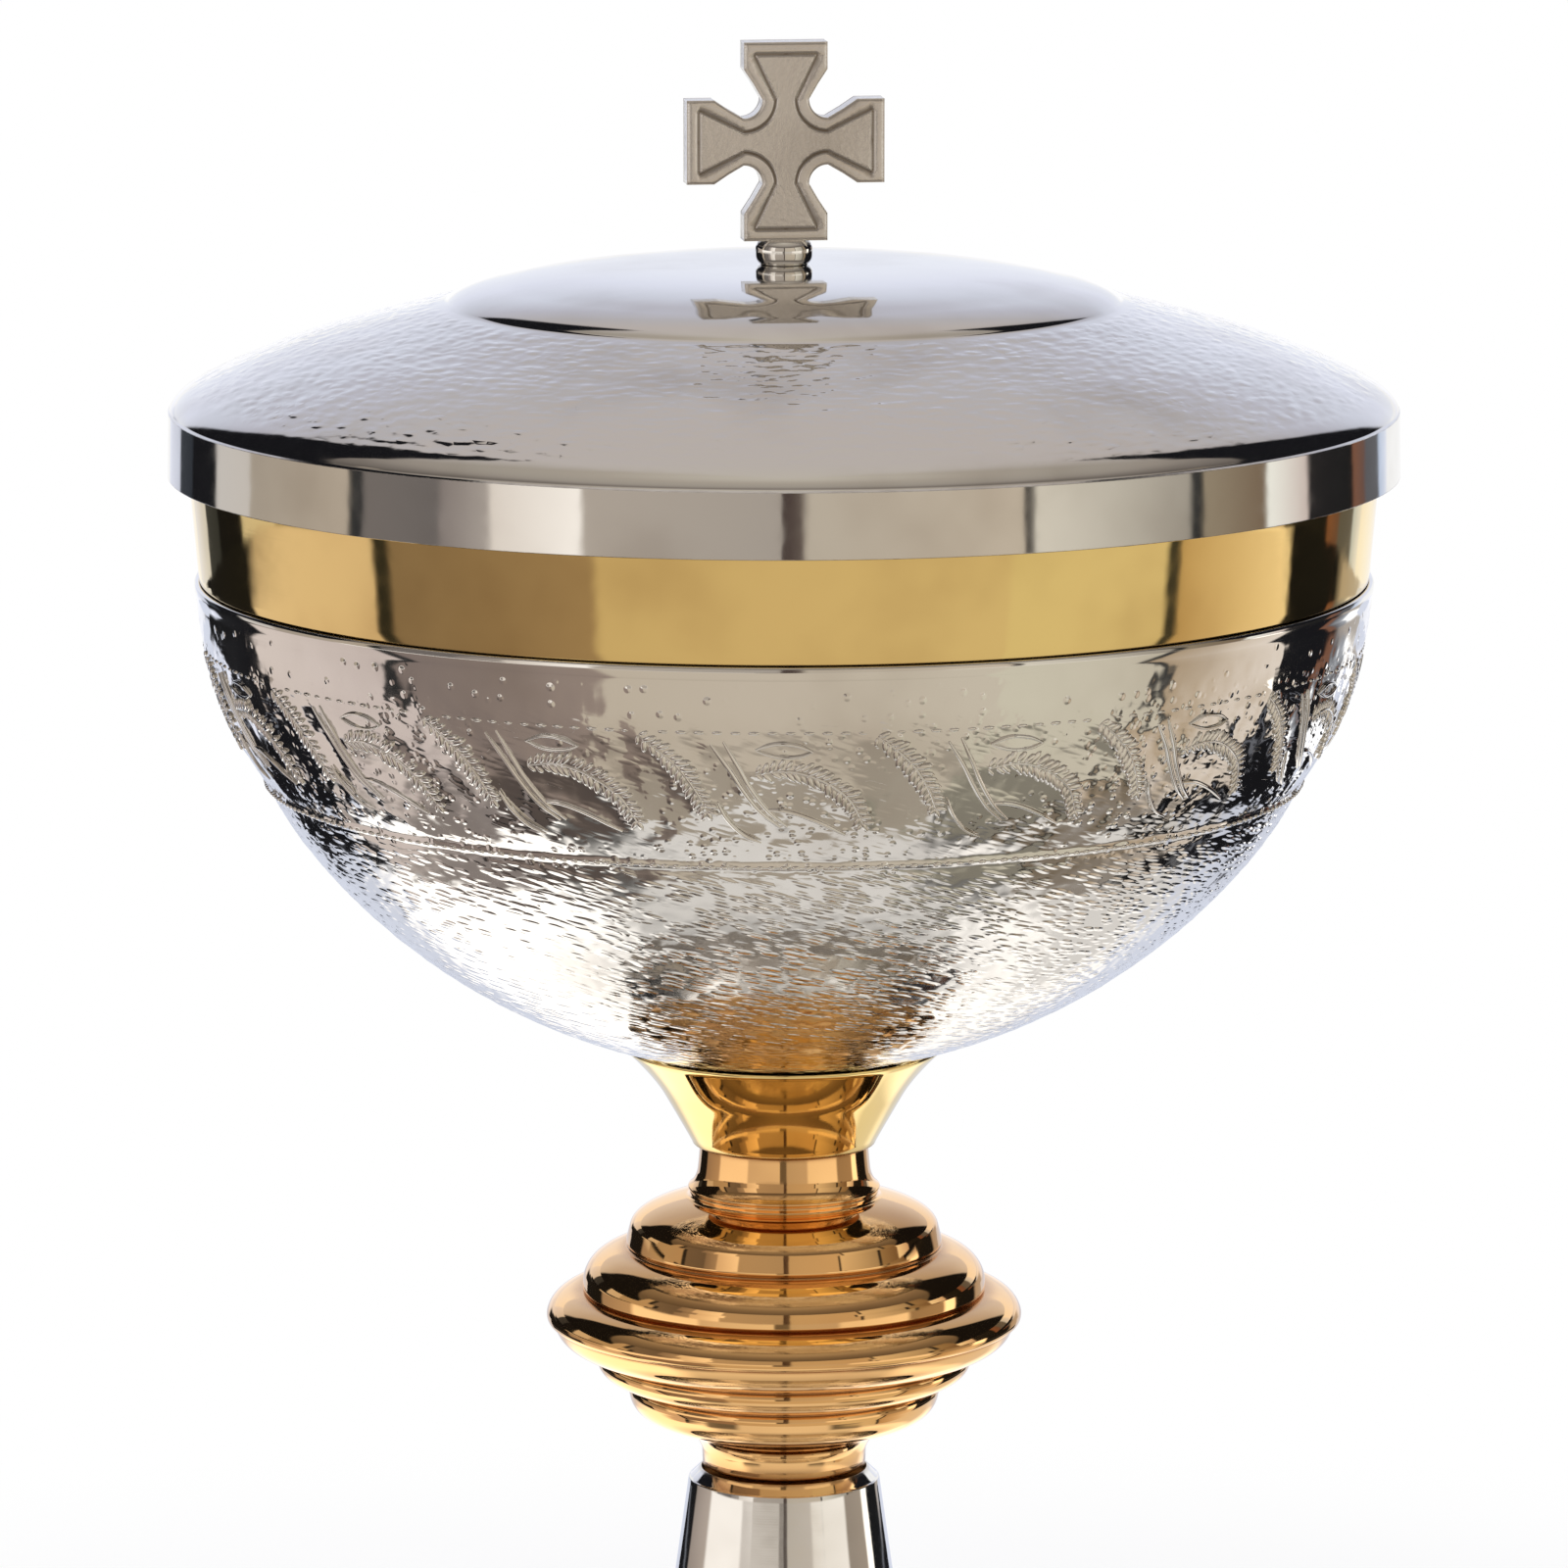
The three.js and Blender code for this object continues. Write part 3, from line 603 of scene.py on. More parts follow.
def lid_outline(sizes):
    """The height of the lid's foot, and the outsides of the dome, from the skirt in, and of the boss."""
    foot = cad_low("lid_shell").z
    root = foot + sizes.skirt + sizes.rise

    def point(inward, up):
        width = sizes.radius - sizes.boss_radius
        return (sizes.radius - inward * width, foot + sizes.skirt + up * sizes.rise)

    dome = curve_points(point(0, 0), [(point(0.02, 0.13), point(0.1, 0.22))], 12)
    dome += curve_points(
        point(0.1, 0.22),
        [(point(0.33, 0.51), point(0.56, 0.68)), (point(0.78, 0.84), point(1, 1))],
        40,
    )[1:]
    dome = resampled(dome, 0.33 * MM)
    edge, brow = sizes.boss_radius, 0.842

    def level(share_of_edge):
        return root + sizes.boss_rise * (1 - share_of_edge**4) ** 0.82

    bend = (edge - 1.3 * MM, root + 1.4 * MM)
    boss = curve_points((edge, root), [(bend, (brow * edge, level(brow)))], 14)[1:]
    boss += [(s * edge, level(s)) for s in brow - np.linspace(0, 0.804, 24)[1:]]
    return foot, dome, boss


def lid_shell(sizes):
    """The skirt, the hammered dome and the boss, with the hole for the stud."""
    foot, dome, boss = lid_outline(sizes)
    wall, top = sizes.wall, boss[-1][1]
    bore, outside = sizes.radius - wall, sizes.radius + sizes.flare
    skirt = [(sizes.radius + sizes.flare * (1 - k / 4), foot + sizes.skirt * k / 4) for k in range(4)]
    outer = rounded(skirt + [dome[0]], 0.12 * MM)
    hole = [(STUD_HOLE, top), (STUD_HOLE, top - wall)]
    under = [(r, z - wall) for r, z in boss[::3]]
    inside = [(r - 0.25 * wall, z - wall) for r, z in dome[8::6]]
    lower_edge = [
        (bore, foot + sizes.skirt - wall / 2),
        (bore, foot + 0.1 * MM),
        (bore + 0.1 * MM, foot),
        (outside - 0.15 * MM, foot),
    ]
    outline = [*outer, *dome[1:], *boss, *hole, *under[::-1], *inside[::-1], *lower_edge]
    shoulder, root = dome[0][0] - 2.2 * MM, sizes.boss_radius

    def zone(radius):
        """1 on the hammered dome, 0 on the polished boss and skirt."""
        off_boss = soft_step(radius, root + 0.6 * MM, root + 1.6 * MM)
        off_skirt = soft_step(-radius, -shoulder - 1.2 * MM, -shoulder + 2.5 * MM)
        return off_boss * off_skirt

    def relief(radius, height, angle):
        path = path_down(radius, height)
        marks = hammering(path, angle, radius, 1.25 * MM, 2.0 * MM, 3)
        return sizes.hammer_height * marks * zone(radius) * (height > foot + sizes.skirt)

    def marks(radius, height, angle):
        zoned = zone(radius)
        return {"hammer": zoned * 0.35, "matting": zoned * 0.15, "run": path_down(radius, height) * 0.5}

    return turned("lid_shell_hammered", outline, 540, "silver_plate_hammered", relief, marks)


def locating_ring():
    """The L-section ring inside the skirt, which sits on the cup's rim."""
    low, high = cad_low("lid_locating_ring").z, cad_high("lid_locating_ring").z
    wall, inner, flange = 0.9 * MM, 62.3 * MM, cad_high("lid_locating_ring").x
    outline = [
        (inner, low),
        (inner + wall, low),
        (inner + wall, high - wall),
        (flange, high - wall),
        (flange, high),
        (inner, high),
    ]
    return turned("lid_locating_ring_fine", rounded(outline, 0.12 * MM), 240, "silver_plate_polished")


# Cross


def cross_outline(side, bay_centre, bay_radius):
    """Half an arm's end, its side and a quarter bay, turned four times, as (x, z) from the centre."""
    turn = np.linspace(-math.pi, -math.pi / 2, 18)
    bay = [(bay_centre + bay_radius * math.cos(a), bay_centre + bay_radius * math.sin(a)) for a in turn]
    quadrant = [*side, *bay, *[(z, x) for x, z in side[::-1]]]
    outline = []
    for _ in range(4):
        outline += quadrant
        quadrant = [(z, -x) for x, z in quadrant]
    return np.array(outline[::-1])


def dense(outline, spacing):
    """A closed outline with points added, so that none lie further apart than spacing."""
    made = []
    for a, b in zip(outline, np.roll(outline, -1, 0)):
        count = max(1, int(np.ceil(np.linalg.norm(b - a) / spacing)))
        made += [a + (b - a) * k / count for k in range(count)]
    return np.array(made)


def distance_to(outline, points):
    """Distance of each point from a closed outline, positive inside."""
    a, b = outline, np.roll(outline, -1, 0)
    edge, least = b - a, 1e-18
    away = points[:, None] - a[None]
    t = np.clip((away * edge).sum(-1) / np.maximum((edge**2).sum(-1), least), 0, 1)
    nearest = np.linalg.norm(away - t[..., None] * edge, axis=-1).min(1)
    above = (a[None, :, 1] > points[:, 1:]) != (b[None, :, 1] > points[:, 1:])
    slope = edge[:, 0] / np.where(edge[:, 1] == 0, least, edge[:, 1])
    crossing = a[None, :, 0] + (points[:, 1:] - a[None, :, 1]) * slope
    inside = (above & (points[:, :1] < crossing)).sum(1) % 2 == 1
    return np.where(inside, nearest, -nearest)


def cross_face(sizes):
    """How many points the rim of a face has, and the face's points, with the rim's first, its triangles,
    the depth of each point, and how far each lies in the panel and in the groove."""
    half, end = sizes.arm_end / 2, sizes.span / 2
    bay_centre, bay_radius = 4.6 * MM, 2.05 * MM
    rounding, rounding_depth, panel_depth = 0.38 * MM, 0.25 * MM, 0.05 * MM

    def outer(inset):
        side = [
            (half - inset, end - inset),
            (half - inset, end - 2.97 * MM - 0.3 * inset),
            (half - 1.0 * MM - inset, end - 4.47 * MM),
        ]
        return cross_outline(side, bay_centre, bay_radius + inset)

    def panel(grow):
        side = [(3.2 * MM + grow, end - 1.5 * MM + grow)]
        return cross_outline(side, bay_centre, bay_radius + 1.65 * MM - grow)

    rim = dense(outer(0), 0.35 * MM)
    rings = [rim] + [dense(outer(inset), 0.35 * MM) for inset in (0.08 * MM, 0.2 * MM, rounding)]
    grooves = [sizes.groove * k for k in (1.25, 1.0, 0.75, 0.5, 0.25, 0.0, -0.3)]
    rings += [dense(panel(grow), 0.3 * MM) for grow in grooves]
    panel_edge = dense(panel(0), 0.3 * MM)
    pitch = 0.24 * MM
    count = int(sizes.span / pitch) + 1
    gx, gz = np.meshgrid(np.arange(count), np.arange(count))
    jitter = 0.5 * np.stack([scatter(gx, gz, 5), scatter(gx, gz, 6)], -1) - 0.25
    filler = ((np.stack([gx, gz], -1) + jitter) * pitch - sizes.span / 2).reshape(-1, 2)
    inside_panel = distance_to(panel_edge, filler)
    border = (inside_panel < -sizes.groove * 1.6) & (distance_to(rim, filler) > 0.55 * MM)
    filler = filler[(inside_panel > 0.2 * MM) | border]
    points = np.concatenate([*rings, filler])
    loop = [list(range(len(rim)))]
    # The triangles are laid in millimetres
    flat, _, triangles, *_ = delaunay_2d_cdt([Vector(p) for p in points * 1000], [], loop, 1, 1e-6)
    flat = np.array([tuple(p) for p in flat]) / 1000
    if len(flat) < len(rim):
        raise RuntimeError("the face of the cross has lost its outline")
    from_rim, from_panel = distance_to(rim, flat), distance_to(panel_edge, flat)
    edge = np.clip(1 - from_rim / rounding, 0, 1)
    in_groove = np.clip(1 - np.abs(-from_panel / sizes.groove - 0.5) * 2, 0, 1)
    in_panel = soft_step(from_panel, -0.02 * MM, 0.1 * MM)
    grain = scatter(np.round(flat[:, 0] * 9e3), np.round(flat[:, 1] * 9e3), 9) - 0.5
    depth = rounding_depth * (1 - np.sqrt(1 - edge**2))
    depth = depth + sizes.groove_depth * np.sin(in_groove * math.pi / 2)
    depth += in_panel * (panel_depth + sizes.grain * grain)
    return len(rim), flat, triangles, depth, in_panel, in_groove


def cross_solid(sizes):
    """The cross, from two like faces and the side between their rims."""
    rim, flat, triangles, depth, in_panel, in_groove = cross_face(sizes)
    count, layers = len(flat), 8
    middle, half = cad_low("cross").z + sizes.span / 2, sizes.thickness / 2
    front = np.stack([flat[:, 0], -(half - depth), middle + flat[:, 1]], -1)
    back = np.stack([flat[:, 0], half - depth, middle + flat[:, 1]], -1)
    rows = [front[:rim] + (back[:rim] - front[:rim]) * k / layers for k in range(1, layers)]
    faces = []
    for a, b, c in triangles:
        area = np.cross(flat[b] - flat[a], flat[c] - flat[a])
        a, b, c = (a, b, c) if area > 0 else (a, c, b)
        faces += [(a, b, c), (count + a, count + c, count + b)]
    starts = [0, *[2 * count + k * rim for k in range(layers - 1)], count]
    anticlockwise = outline_area(flat[:rim]) >= 0
    for low, high in zip(starts, starts[1:]):
        for k in range(rim):
            n = (k + 1) % rim
            quad = (low + k, high + k, high + n, low + n)
            faces.append(quad[::-1] if anticlockwise else quad)
    side = np.zeros((layers - 1) * rim)
    attributes = {
        "matting": np.concatenate([in_panel, in_panel, side]),
        # The groove round the panel is darkened: painted shade, with tarnish
        "grime": np.concatenate([in_groove, in_groove, side]),
    }
    mesh = bpy.data.meshes.new("cross_cast")
    mesh.from_pydata([tuple(p) for p in np.concatenate([front, back, *rows])], [], faces)
    return finish_mesh("cross_cast", mesh, "silver_cast_grained", attributes)


def cross_bead():
    """The polished bead under the cross, with the hole for the stud."""
    low, high = cad_low("cross_bead").z, cad_high("cross_bead").z
    middle, round_height, radius = (low + high) / 2, 1.9 * MM, cad_high("cross_bead").x
    fullness = 3.2
    side = [
        (radius * math.sqrt(1 - abs((z - middle) / round_height) ** fullness), z)
        for z in np.linspace(low, high, 28)
    ]
    outline = rounded([(STUD_HOLE, low), *side, (STUD_HOLE, high)], 0.08 * MM)
    return turned("cross_bead_polished", outline, 128, "silver_plate_polished")


# Bowl


def bowl_end(sizes):
    """The angle along the bowl's curve at which the hole under it starts."""
    return math.acos(BOWL_HOLE / sizes.radius)


def bowl_curve(sizes, inset, angles):
    """Points (radius, height) of the bowl's curve, moved in by inset, at angles along it."""
    rim = cad_high("cup_sheath").z
    sink = np.sin(angles) ** (2 / sizes.power)
    return np.stack([(sizes.radius - inset) * np.cos(angles), rim - (sizes.depth - inset) * sink], -1)


def bowl_point(sizes, angle, drop):
    """A point of the bowl's outside at an angle round it and a depth below its rim, and its normal."""
    sink = (np.asarray(drop) / sizes.depth) ** (sizes.power / 2)
    radius = sizes.radius * np.sqrt(1 - sink**2)
    slope = sizes.radius * sizes.power / 2 * sink**2 / np.asarray(drop) / np.sqrt(1 - sink**2)
    tilt = np.arctan(slope)
    point = np.stack([radius * np.sin(angle), -radius * np.cos(angle), cad_high("cup_sheath").z - drop], -1)
    normal = np.stack([np.sin(angle) * np.cos(tilt), -np.cos(angle) * np.cos(tilt), -np.sin(tilt)], -1)
    return point, normal


def bowl_radius(sizes, drop):
    """Radius of the bowl's outside at a depth below its rim."""
    return abs(bowl_point(sizes, 0.0, np.array([drop]))[0][0][1])


def waist(sizes, drop):
    """How far the metal stands out at the raised line below the frieze, and in the slight waist round
    that line."""
    away = drop - sizes.frieze_bottom
    reach = np.where(away < 0, 3.4 * MM, 3.0 * MM)
    line = 0.3 * MM * np.exp(-((away / (0.3 * MM)) ** 2))
    return -0.55 * MM * np.exp(-np.abs(away) / reach) + line


def swelling(sizes, wheat, studio, angle, drop):
    """How far the metal is raised under the ears and the stalks of the frieze."""
    width = TURN * bowl_radius(sizes, FRIEZE_MIDDLE) / MM / wheat.modules
    across = np.mod((angle - studio.azimuth - FRIEZE_TURN) / TURN * wheat.modules, 1.0) * width
    depth = drop / MM
    raised = np.zeros_like(across)
    for lines, reach, rise in ((EARS, 1.35, 1.0), (STALKS, 0.6, 0.45)):
        for x, z in np.concatenate([smooth_line(line, 0.6) for line in lines]):
            for shift in (-width, 0, width):
                far = ((across + shift - x) ** 2 + (depth - z) ** 2) / reach**2
                raised = np.maximum(raised, rise * np.exp(-far))
    return wheat.swell * raised


def sheath_outside(sizes):
    """The outside of the sheath from below its lip, with more points where the relief is finer."""
    rim, step = cad_high("cup_sheath").z, 0.1 * MM
    path = bowl_curve(sizes, 0, np.linspace(0, bowl_end(sizes), 900))
    start = int(np.argmax(path[:, 1] < rim - 1.6 * MM))
    path = resampled(path[start:], step)
    drop = rim - path[:, 1]
    spacing = np.where(drop < 6 * MM, 0.55, np.where(drop < 34 * MM, 0.42, 0.9)) * MM
    near_line = np.abs(drop - sizes.frieze_bottom) < 0.9 * MM
    spacing = np.where(near_line, 0.16 * MM, spacing)
    kept, travelled = [0], 0.0
    for i in range(1, len(path)):
        travelled += step
        if travelled >= spacing[i]:
            kept.append(i)
            travelled = 0.0
    return path[kept]


def cup_sheath(sizes, wheat, studio):
    """The silver sheath with its rolled lip, its marks, and the metal raised under the frieze."""
    rim = cad_high("cup_sheath").z
    outer = sheath_outside(sizes)
    inner = bowl_curve(sizes, sizes.sheath_wall, np.linspace(0.0, bowl_end(sizes), 14))
    lip_radius, inside = sizes.radius + sizes.lip, inner[0][0]
    lip = curve_points(
        (inside + 0.05 * MM, rim - 0.35 * MM),
        [
            ((inside + 0.1 * MM, rim), (sizes.radius - 0.2 * MM, rim)),
            ((lip_radius, rim), (lip_radius, rim - 0.45 * MM)),
            ((lip_radius, rim - 0.95 * MM), tuple(outer[0])),
        ],
        6,
    )
    outline = [*inner[::-1][:-1], *lip, *outer[1:], (BOWL_HOLE, outer[-1][1])]
    top, bottom = sizes.frieze_top, sizes.frieze_bottom

    def zones(height):
        """The depth below the rim, and how far each point lies in the frieze and below it."""
        drop = rim - height
        below = soft_step(drop, bottom + 0.5 * MM, bottom + 1.2 * MM)
        in_frieze = soft_step(drop, top - 2.6 * MM, top + 1.0 * MM) * (1 - below)
        return drop, in_frieze, below

    def relief(radius, height, angle):
        drop, in_frieze, below = zones(height)
        path = path_down(radius, height)
        strikes = hammering(path, angle, radius, 1.15 * MM, 1.9 * MM, 11, 0.35)
        punches = hammering(path, angle, radius, 1.05 * MM, 1.05 * MM, 21)
        chosen = scatter(np.floor(angle * 90), np.floor(path / (1.3 * MM)), 4) > 0.66
        above = soft_step(drop, 1.2 * MM, 3.5 * MM) * (1 - in_frieze) * (1 - below)
        drops = punches * chosen * above
        swelled = (drop[:, 0] > 5 * MM) & (drop[:, 0] < bottom) & (radius[:, 0] > 50 * MM)
        raised = waist(sizes, drop) * (drop > top)
        raised[swelled] += swelling(sizes, wheat, studio, angle[swelled], drop[swelled])
        marked = sizes.hammer_height * soft_step(drop, 1.4 * MM, 2.0 * MM)
        return raised + marked * (strikes * below + punches * in_frieze * 0.55 + drops * 0.9)

    def marks(radius, height, angle):
        drop, in_frieze, below = zones(height)
        return {
            "hammer": below + 0.22 * in_frieze,
            # The frieze and the hammered part below it are a little darker
            "grime": 0.06 * in_frieze + 0.08 * below,
            "matting": in_frieze,
            "droplets": soft_step(drop, 1.5 * MM, 3.0 * MM) * (1 - in_frieze) * (1 - below),
            "run": path_down(radius, height) + 0.33 * radius * np.sin(angle - 0.3),
        }

    return turned("cup_sheath_hammered", outline, 600, "silver_plate_hammered", relief, marks)


def gold_cup(sizes):
    """The gold-lined cup inside the sheath, with the gold band that stands above it."""
    rim, top = cad_high("cup_sheath").z, cad_high("cup").z
    skirt = cad_low("lid_shell").z
    angles = np.linspace(0, bowl_end(sizes), 60)
    outside = bowl_curve(sizes, sizes.cup_inset, angles)
    inside = bowl_curve(sizes, sizes.cup_inset + sizes.cup_wall, angles)
    foot = sizes.radius - sizes.band_inset
    wide = foot + sizes.band_flare
    edge = wide + 0.2 * MM
    ledge = [(outside[0][0], rim - 0.2 * MM), (outside[0][0] + 0.4 * MM, rim + 0.04 * MM)]
    band = [(foot, rim + 0.12 * MM)]
    band += [(foot + sizes.band_flare * k / 10, rim + (skirt - rim) * k / 10) for k in range(1, 11)]
    mouth = [(edge, top - 0.5 * MM), (edge - 0.5 * MM, top), (edge - sizes.cup_wall, top)]
    wall = [(wide - sizes.cup_wall, skirt), (foot - sizes.cup_wall + 0.1 * MM, rim + 2 * MM)]
    outline = [(0, outside[-1][1]), *outside[::-1][:-1], *ledge, *band, *mouth, *wall]
    outline += [*inside[1:], (0, inside[-1][1])]

    def marks(radius, height, angle):
        # Painted shade in the crease where the gold band's foot meets the sheath's lip
        shaded_crease = np.exp(-(((height - rim - 0.08 * MM) / (0.1 * MM)) ** 2)) * (radius > 62.5 * MM)
        return {"grime": 0.6 * shaded_crease}

    return turned("cup_gold_lined", rounded(outline, 0.18 * MM), 360, "gold_plate_yellow", None, marks)


# Frieze, made with geometry nodes


class GeometryTree:
    """A geometry node tree with named inputs, that ends in Realize Instances and Set Material."""

    def __init__(self, name):
        self.tree = bpy.data.node_groups.new(name, "GeometryNodeTree")
        self.tree.interface.new_socket("Geometry", in_out="OUTPUT", socket_type="NodeSocketGeometry")
        self.identifiers = {}
        self.nodes = Nodes(self.tree)

    def input(self, name, kind, description):
        socket = self.tree.interface.new_socket(name, in_out="INPUT", socket_type="NodeSocket" + kind)
        socket.description = description
        self.identifiers[name] = socket.identifier

    def start(self):
        return self.nodes.add("NodeGroupInput").outputs

    def named(self, name, kind):
        """What the mesh keeps under a name at each of its points."""
        node = self.nodes.add("GeometryNodeInputNamedAttribute", {"Name": name}, data_type=kind)
        return node.outputs["Attribute"]

    def end(self, geometry, material):
        real = self.nodes.add("GeometryNodeRealizeInstances", {"Geometry": geometry})
        smooth = self.nodes.add("GeometryNodeSetShadeSmooth", {"Geometry": real.outputs["Geometry"]})
        dressed = self.nodes.add(
            "GeometryNodeSetMaterial", {"Geometry": smooth.outputs["Geometry"], "Material": material}
        )
        self.nodes.add("NodeGroupOutput", {"Geometry": dressed.outputs["Geometry"]})

    def make(self, name, base, values):
        """A plain mesh object from the tree, set to the values and run on a base mesh."""
        carrier = placed(name + "_carrier", base)
        modifier = carrier.modifiers.new("tree", "NODES")
        modifier.node_group = self.tree
        for key, value in values.items():
            modifier[self.identifiers[key]] = value
        bpy.context.view_layer.update()
        evaluated = carrier.evaluated_get(bpy.context.evaluated_depsgraph_get())
        mesh = bpy.data.meshes.new_from_object(evaluated)
        mesh.name = name
        carrier.modifiers.clear()
        bpy.data.objects.remove(carrier)
        if not mesh.vertices:
            raise RuntimeError(name + " came out empty")
        return placed(name, mesh)


def beads_tree():
    """Small rounded beads on the points of a mesh, turned to its stored normal and direction."""
    made = GeometryTree("beads_on_metal")
    made.input("Geometry", "Geometry", "Points with the attributes normal, way and size")
    for name, text in (("Length", "Along the way"), ("Width", "Across it"), ("Height", "Out of the metal")):
        made.input(name, "Float", text)
    made.input("Material", "Material", "The metal")
    start, nodes = made.start(), made.nodes
    bead = nodes.add("GeometryNodeMeshUVSphere", {"Segments": 8, "Rings": 6, "Radius": 0.5})
    size = nodes.join(start["Length"], start["Width"], start["Height"])
    scaled = nodes.add("GeometryNodeTransform", {"Geometry": bead.outputs["Mesh"], "Scale": size})
    upright = nodes.add(
        "FunctionNodeAlignRotationToVector", {"Vector": made.named("normal", "FLOAT_VECTOR")}, axis="Z"
    )
    turned_to = nodes.add(
        "FunctionNodeAlignRotationToVector",
        {"Rotation": upright.outputs["Rotation"], "Vector": made.named("way", "FLOAT_VECTOR")},
        axis="X",
        pivot_axis="Z",
    )
    spread = nodes.add(
        "GeometryNodeInstanceOnPoints",
        {
            "Points": start["Geometry"],
            "Instance": scaled.outputs["Geometry"],
            "Rotation": turned_to.outputs["Rotation"],
            "Scale": made.named("size", "FLOAT"),
        },
    )
    made.end(spread.outputs["Instances"], start["Material"])
    return made


def wires_tree():
    """Round wires along the edges of a mesh, thinner towards their ends by the stored size."""
    made = GeometryTree("wires_on_metal")
    made.input("Geometry", "Geometry", "Edges with the attribute size")
    made.input("Radius", "Float", "Radius of the wire")
    made.input("Material", "Material", "The metal")
    start, nodes = made.start(), made.nodes
    curve = nodes.add("GeometryNodeMeshToCurve", {"Mesh": start["Geometry"]})
    thick = nodes.math("MULTIPLY", made.named("size", "FLOAT"), start["Radius"])
    sized = nodes.add("GeometryNodeSetCurveRadius", {"Curve": curve.outputs["Curve"], "Radius": thick})
    section = nodes.add("GeometryNodeCurvePrimitiveCircle", {"Resolution": 8, "Radius": 1.0})
    tube = nodes.add(
        "GeometryNodeCurveToMesh",
        {
            "Curve": sized.outputs["Curve"],
            "Profile Curve": section.outputs["Curve"],
            "Scale": nodes.add("GeometryNodeInputRadius").outputs["Radius"],
            "Fill Caps": True,
        },
    )
    made.end(tube.outputs["Mesh"], start["Material"])
    return made


def point_mesh(name, points, attributes, edges=()):
    """A mesh of points, or of edges between them, that keeps the attributes for a geometry tree."""
    mesh = bpy.data.meshes.new(name)
    mesh.from_pydata([tuple(p) for p in points], list(edges), [])
    for key, values in attributes.items():
        values = np.asarray(values, np.float32)
        if values.ndim == 2:
            mesh.attributes.new(key, "FLOAT_VECTOR", "POINT").data.foreach_set("vector", values.ravel())
        else:
            mesh.attributes.new(key, "FLOAT", "POINT").data.foreach_set("value", values)
    return mesh


# The wheat of one module, as lines of (millimetres to the right of the stalk's foot, depth in
# millimetres below the sheath's rim)
STALKS = [
    [(-6.6, 7.9), (-5.2, 10.6), (-4.0, 13.0), (-2.2, 15.6), (-0.2, 17.4)],
    [(-7.9, 8.2), (-6.1, 10.9), (-4.8, 13.2), (-3.1, 15.6), (-0.9, 17.5)],
    [(-3.0, 15.4), (-0.2, 15.6), (3.0, 16.8), (6.0, 18.4)],
]
EARS = [
    [(-15.2, 7.4), (-13.2, 8.9), (-11.2, 10.9), (-9.6, 13.4), (-8.6, 15.6)],
    [(-3.4, 11.4), (-0.2, 11.0), (3.2, 12.0), (6.2, 14.2), (7.8, 17.0)],
]
LEAVES = [
    [(-3.4, 8.8), (-1.4, 8.1), (0.8, 8.3), (2.4, 9.0)],
    [(-3.4, 8.8), (-1.2, 9.5), (0.9, 9.5), (2.4, 9.0)],
    [(-7.4, 14.6), (-6.6, 16.4), (-5.0, 18.2), (-3.0, 19.2)],
]
# Each line that has a wire along it, and the wire's share of the full thickness
WIRES = [(line, thick) for lines, thick in ((STALKS, 1.0), (EARS, 0.55), (LEAVES, 0.75)) for line in lines]


def smooth_line(points, spacing):
    """A line through a few points, smoothed and evenly spaced."""
    points = np.array(points, float)
    padded = np.concatenate([[2 * points[0] - points[1]], points, [2 * points[-1] - points[-2]]])
    made = []
    for p0, p1, p2, p3 in zip(padded, padded[1:], padded[2:], padded[3:]):
        slope, bend, twist = p2 - p0, 2 * p0 - 5 * p1 + 4 * p2 - p3, 3 * p1 - p0 - 3 * p2 + p3
        for t in np.linspace(0, 1, 12, endpoint=False):
            made.append(0.5 * (2 * p1 + slope * t + bend * t * t + twist * t**3))
    made.append(points[-1])
    return resampled(made, spacing)


def on_bowl(sizes, wheat, line, turn, lift=0.0):
    """Points and normals on the bowl of a line in a module that is turned round it."""
    drop = line[:, 1] * MM
    angle = turn + line[:, 0] * MM / bowl_radius(sizes, FRIEZE_MIDDLE)
    point, normal = bowl_point(sizes, angle, drop)
    far = min(float(np.hypot(*(line[:1] - ear).T).min()) for ear in map(np.array, EARS))
    raised = wheat.swell * (0.95 if far < 1.6 else 0.4)
    return point + normal * (lift + raised + waist(sizes, drop))[:, None], normal


def ear_grains(wheat, ear, turn):
    """The grains of one ear, as (place, way, size): a pair at each step of its stalk and one at its tip."""
    line = smooth_line(ear, wheat.spacing / MM)
    ahead = np.gradient(line, axis=0)
    ahead /= np.linalg.norm(ahead, axis=1)[:, None]
    aside = np.stack([-ahead[:, 1], ahead[:, 0]], -1)
    grains = []
    for k, (place, way, across) in enumerate(zip(line, ahead, aside)):
        taper = 0.72 + 0.34 * math.sin(math.pi * (k + 0.6) / len(line))
        for sign in (-1, 1):
            lean = way * 0.62 + across * sign * 0.85
            spot = place + lean * 0.42 * wheat.grain_length / MM * taper
            stray = 0.26 * np.array([scatter(k, turn, 31 + sign), scatter(k, turn, 35 + sign)]) - 0.13
            size = taper * (0.8 + 0.4 * scatter(k, turn, 40 + sign))
            grains.append((spot + stray, lean + stray, size))
    grains.append((line[-1] + ahead[-1] * 0.6, ahead[-1], 0.8))
    return grains


def wheat_ears(sizes, wheat, turns, tree, silver):
    """All the grains of the frieze."""
    spots, normals, ways, grain_sizes = [], [], [], []
    for turn in turns:
        for ear in EARS:
            for spot, lean, size in ear_grains(wheat, ear, turn):
                pair = np.array([spot - lean * 0.05, spot + lean * 0.05])
                ends, normal = on_bowl(sizes, wheat, pair, turn)
                way = ends[1] - ends[0]
                spots.append(ends.mean(0))
                normals.append(normal[0])
                ways.append(way / np.linalg.norm(way))
                grain_sizes.append(size)
    places = point_mesh("wheat_grain_places", spots, {"normal": normals, "way": ways, "size": grain_sizes})
    values = {"Length": wheat.grain_length, "Width": wheat.grain_width, "Height": wheat.relief * 2}
    return tree.make("wheat_ears", places, {**values, "Material": silver})


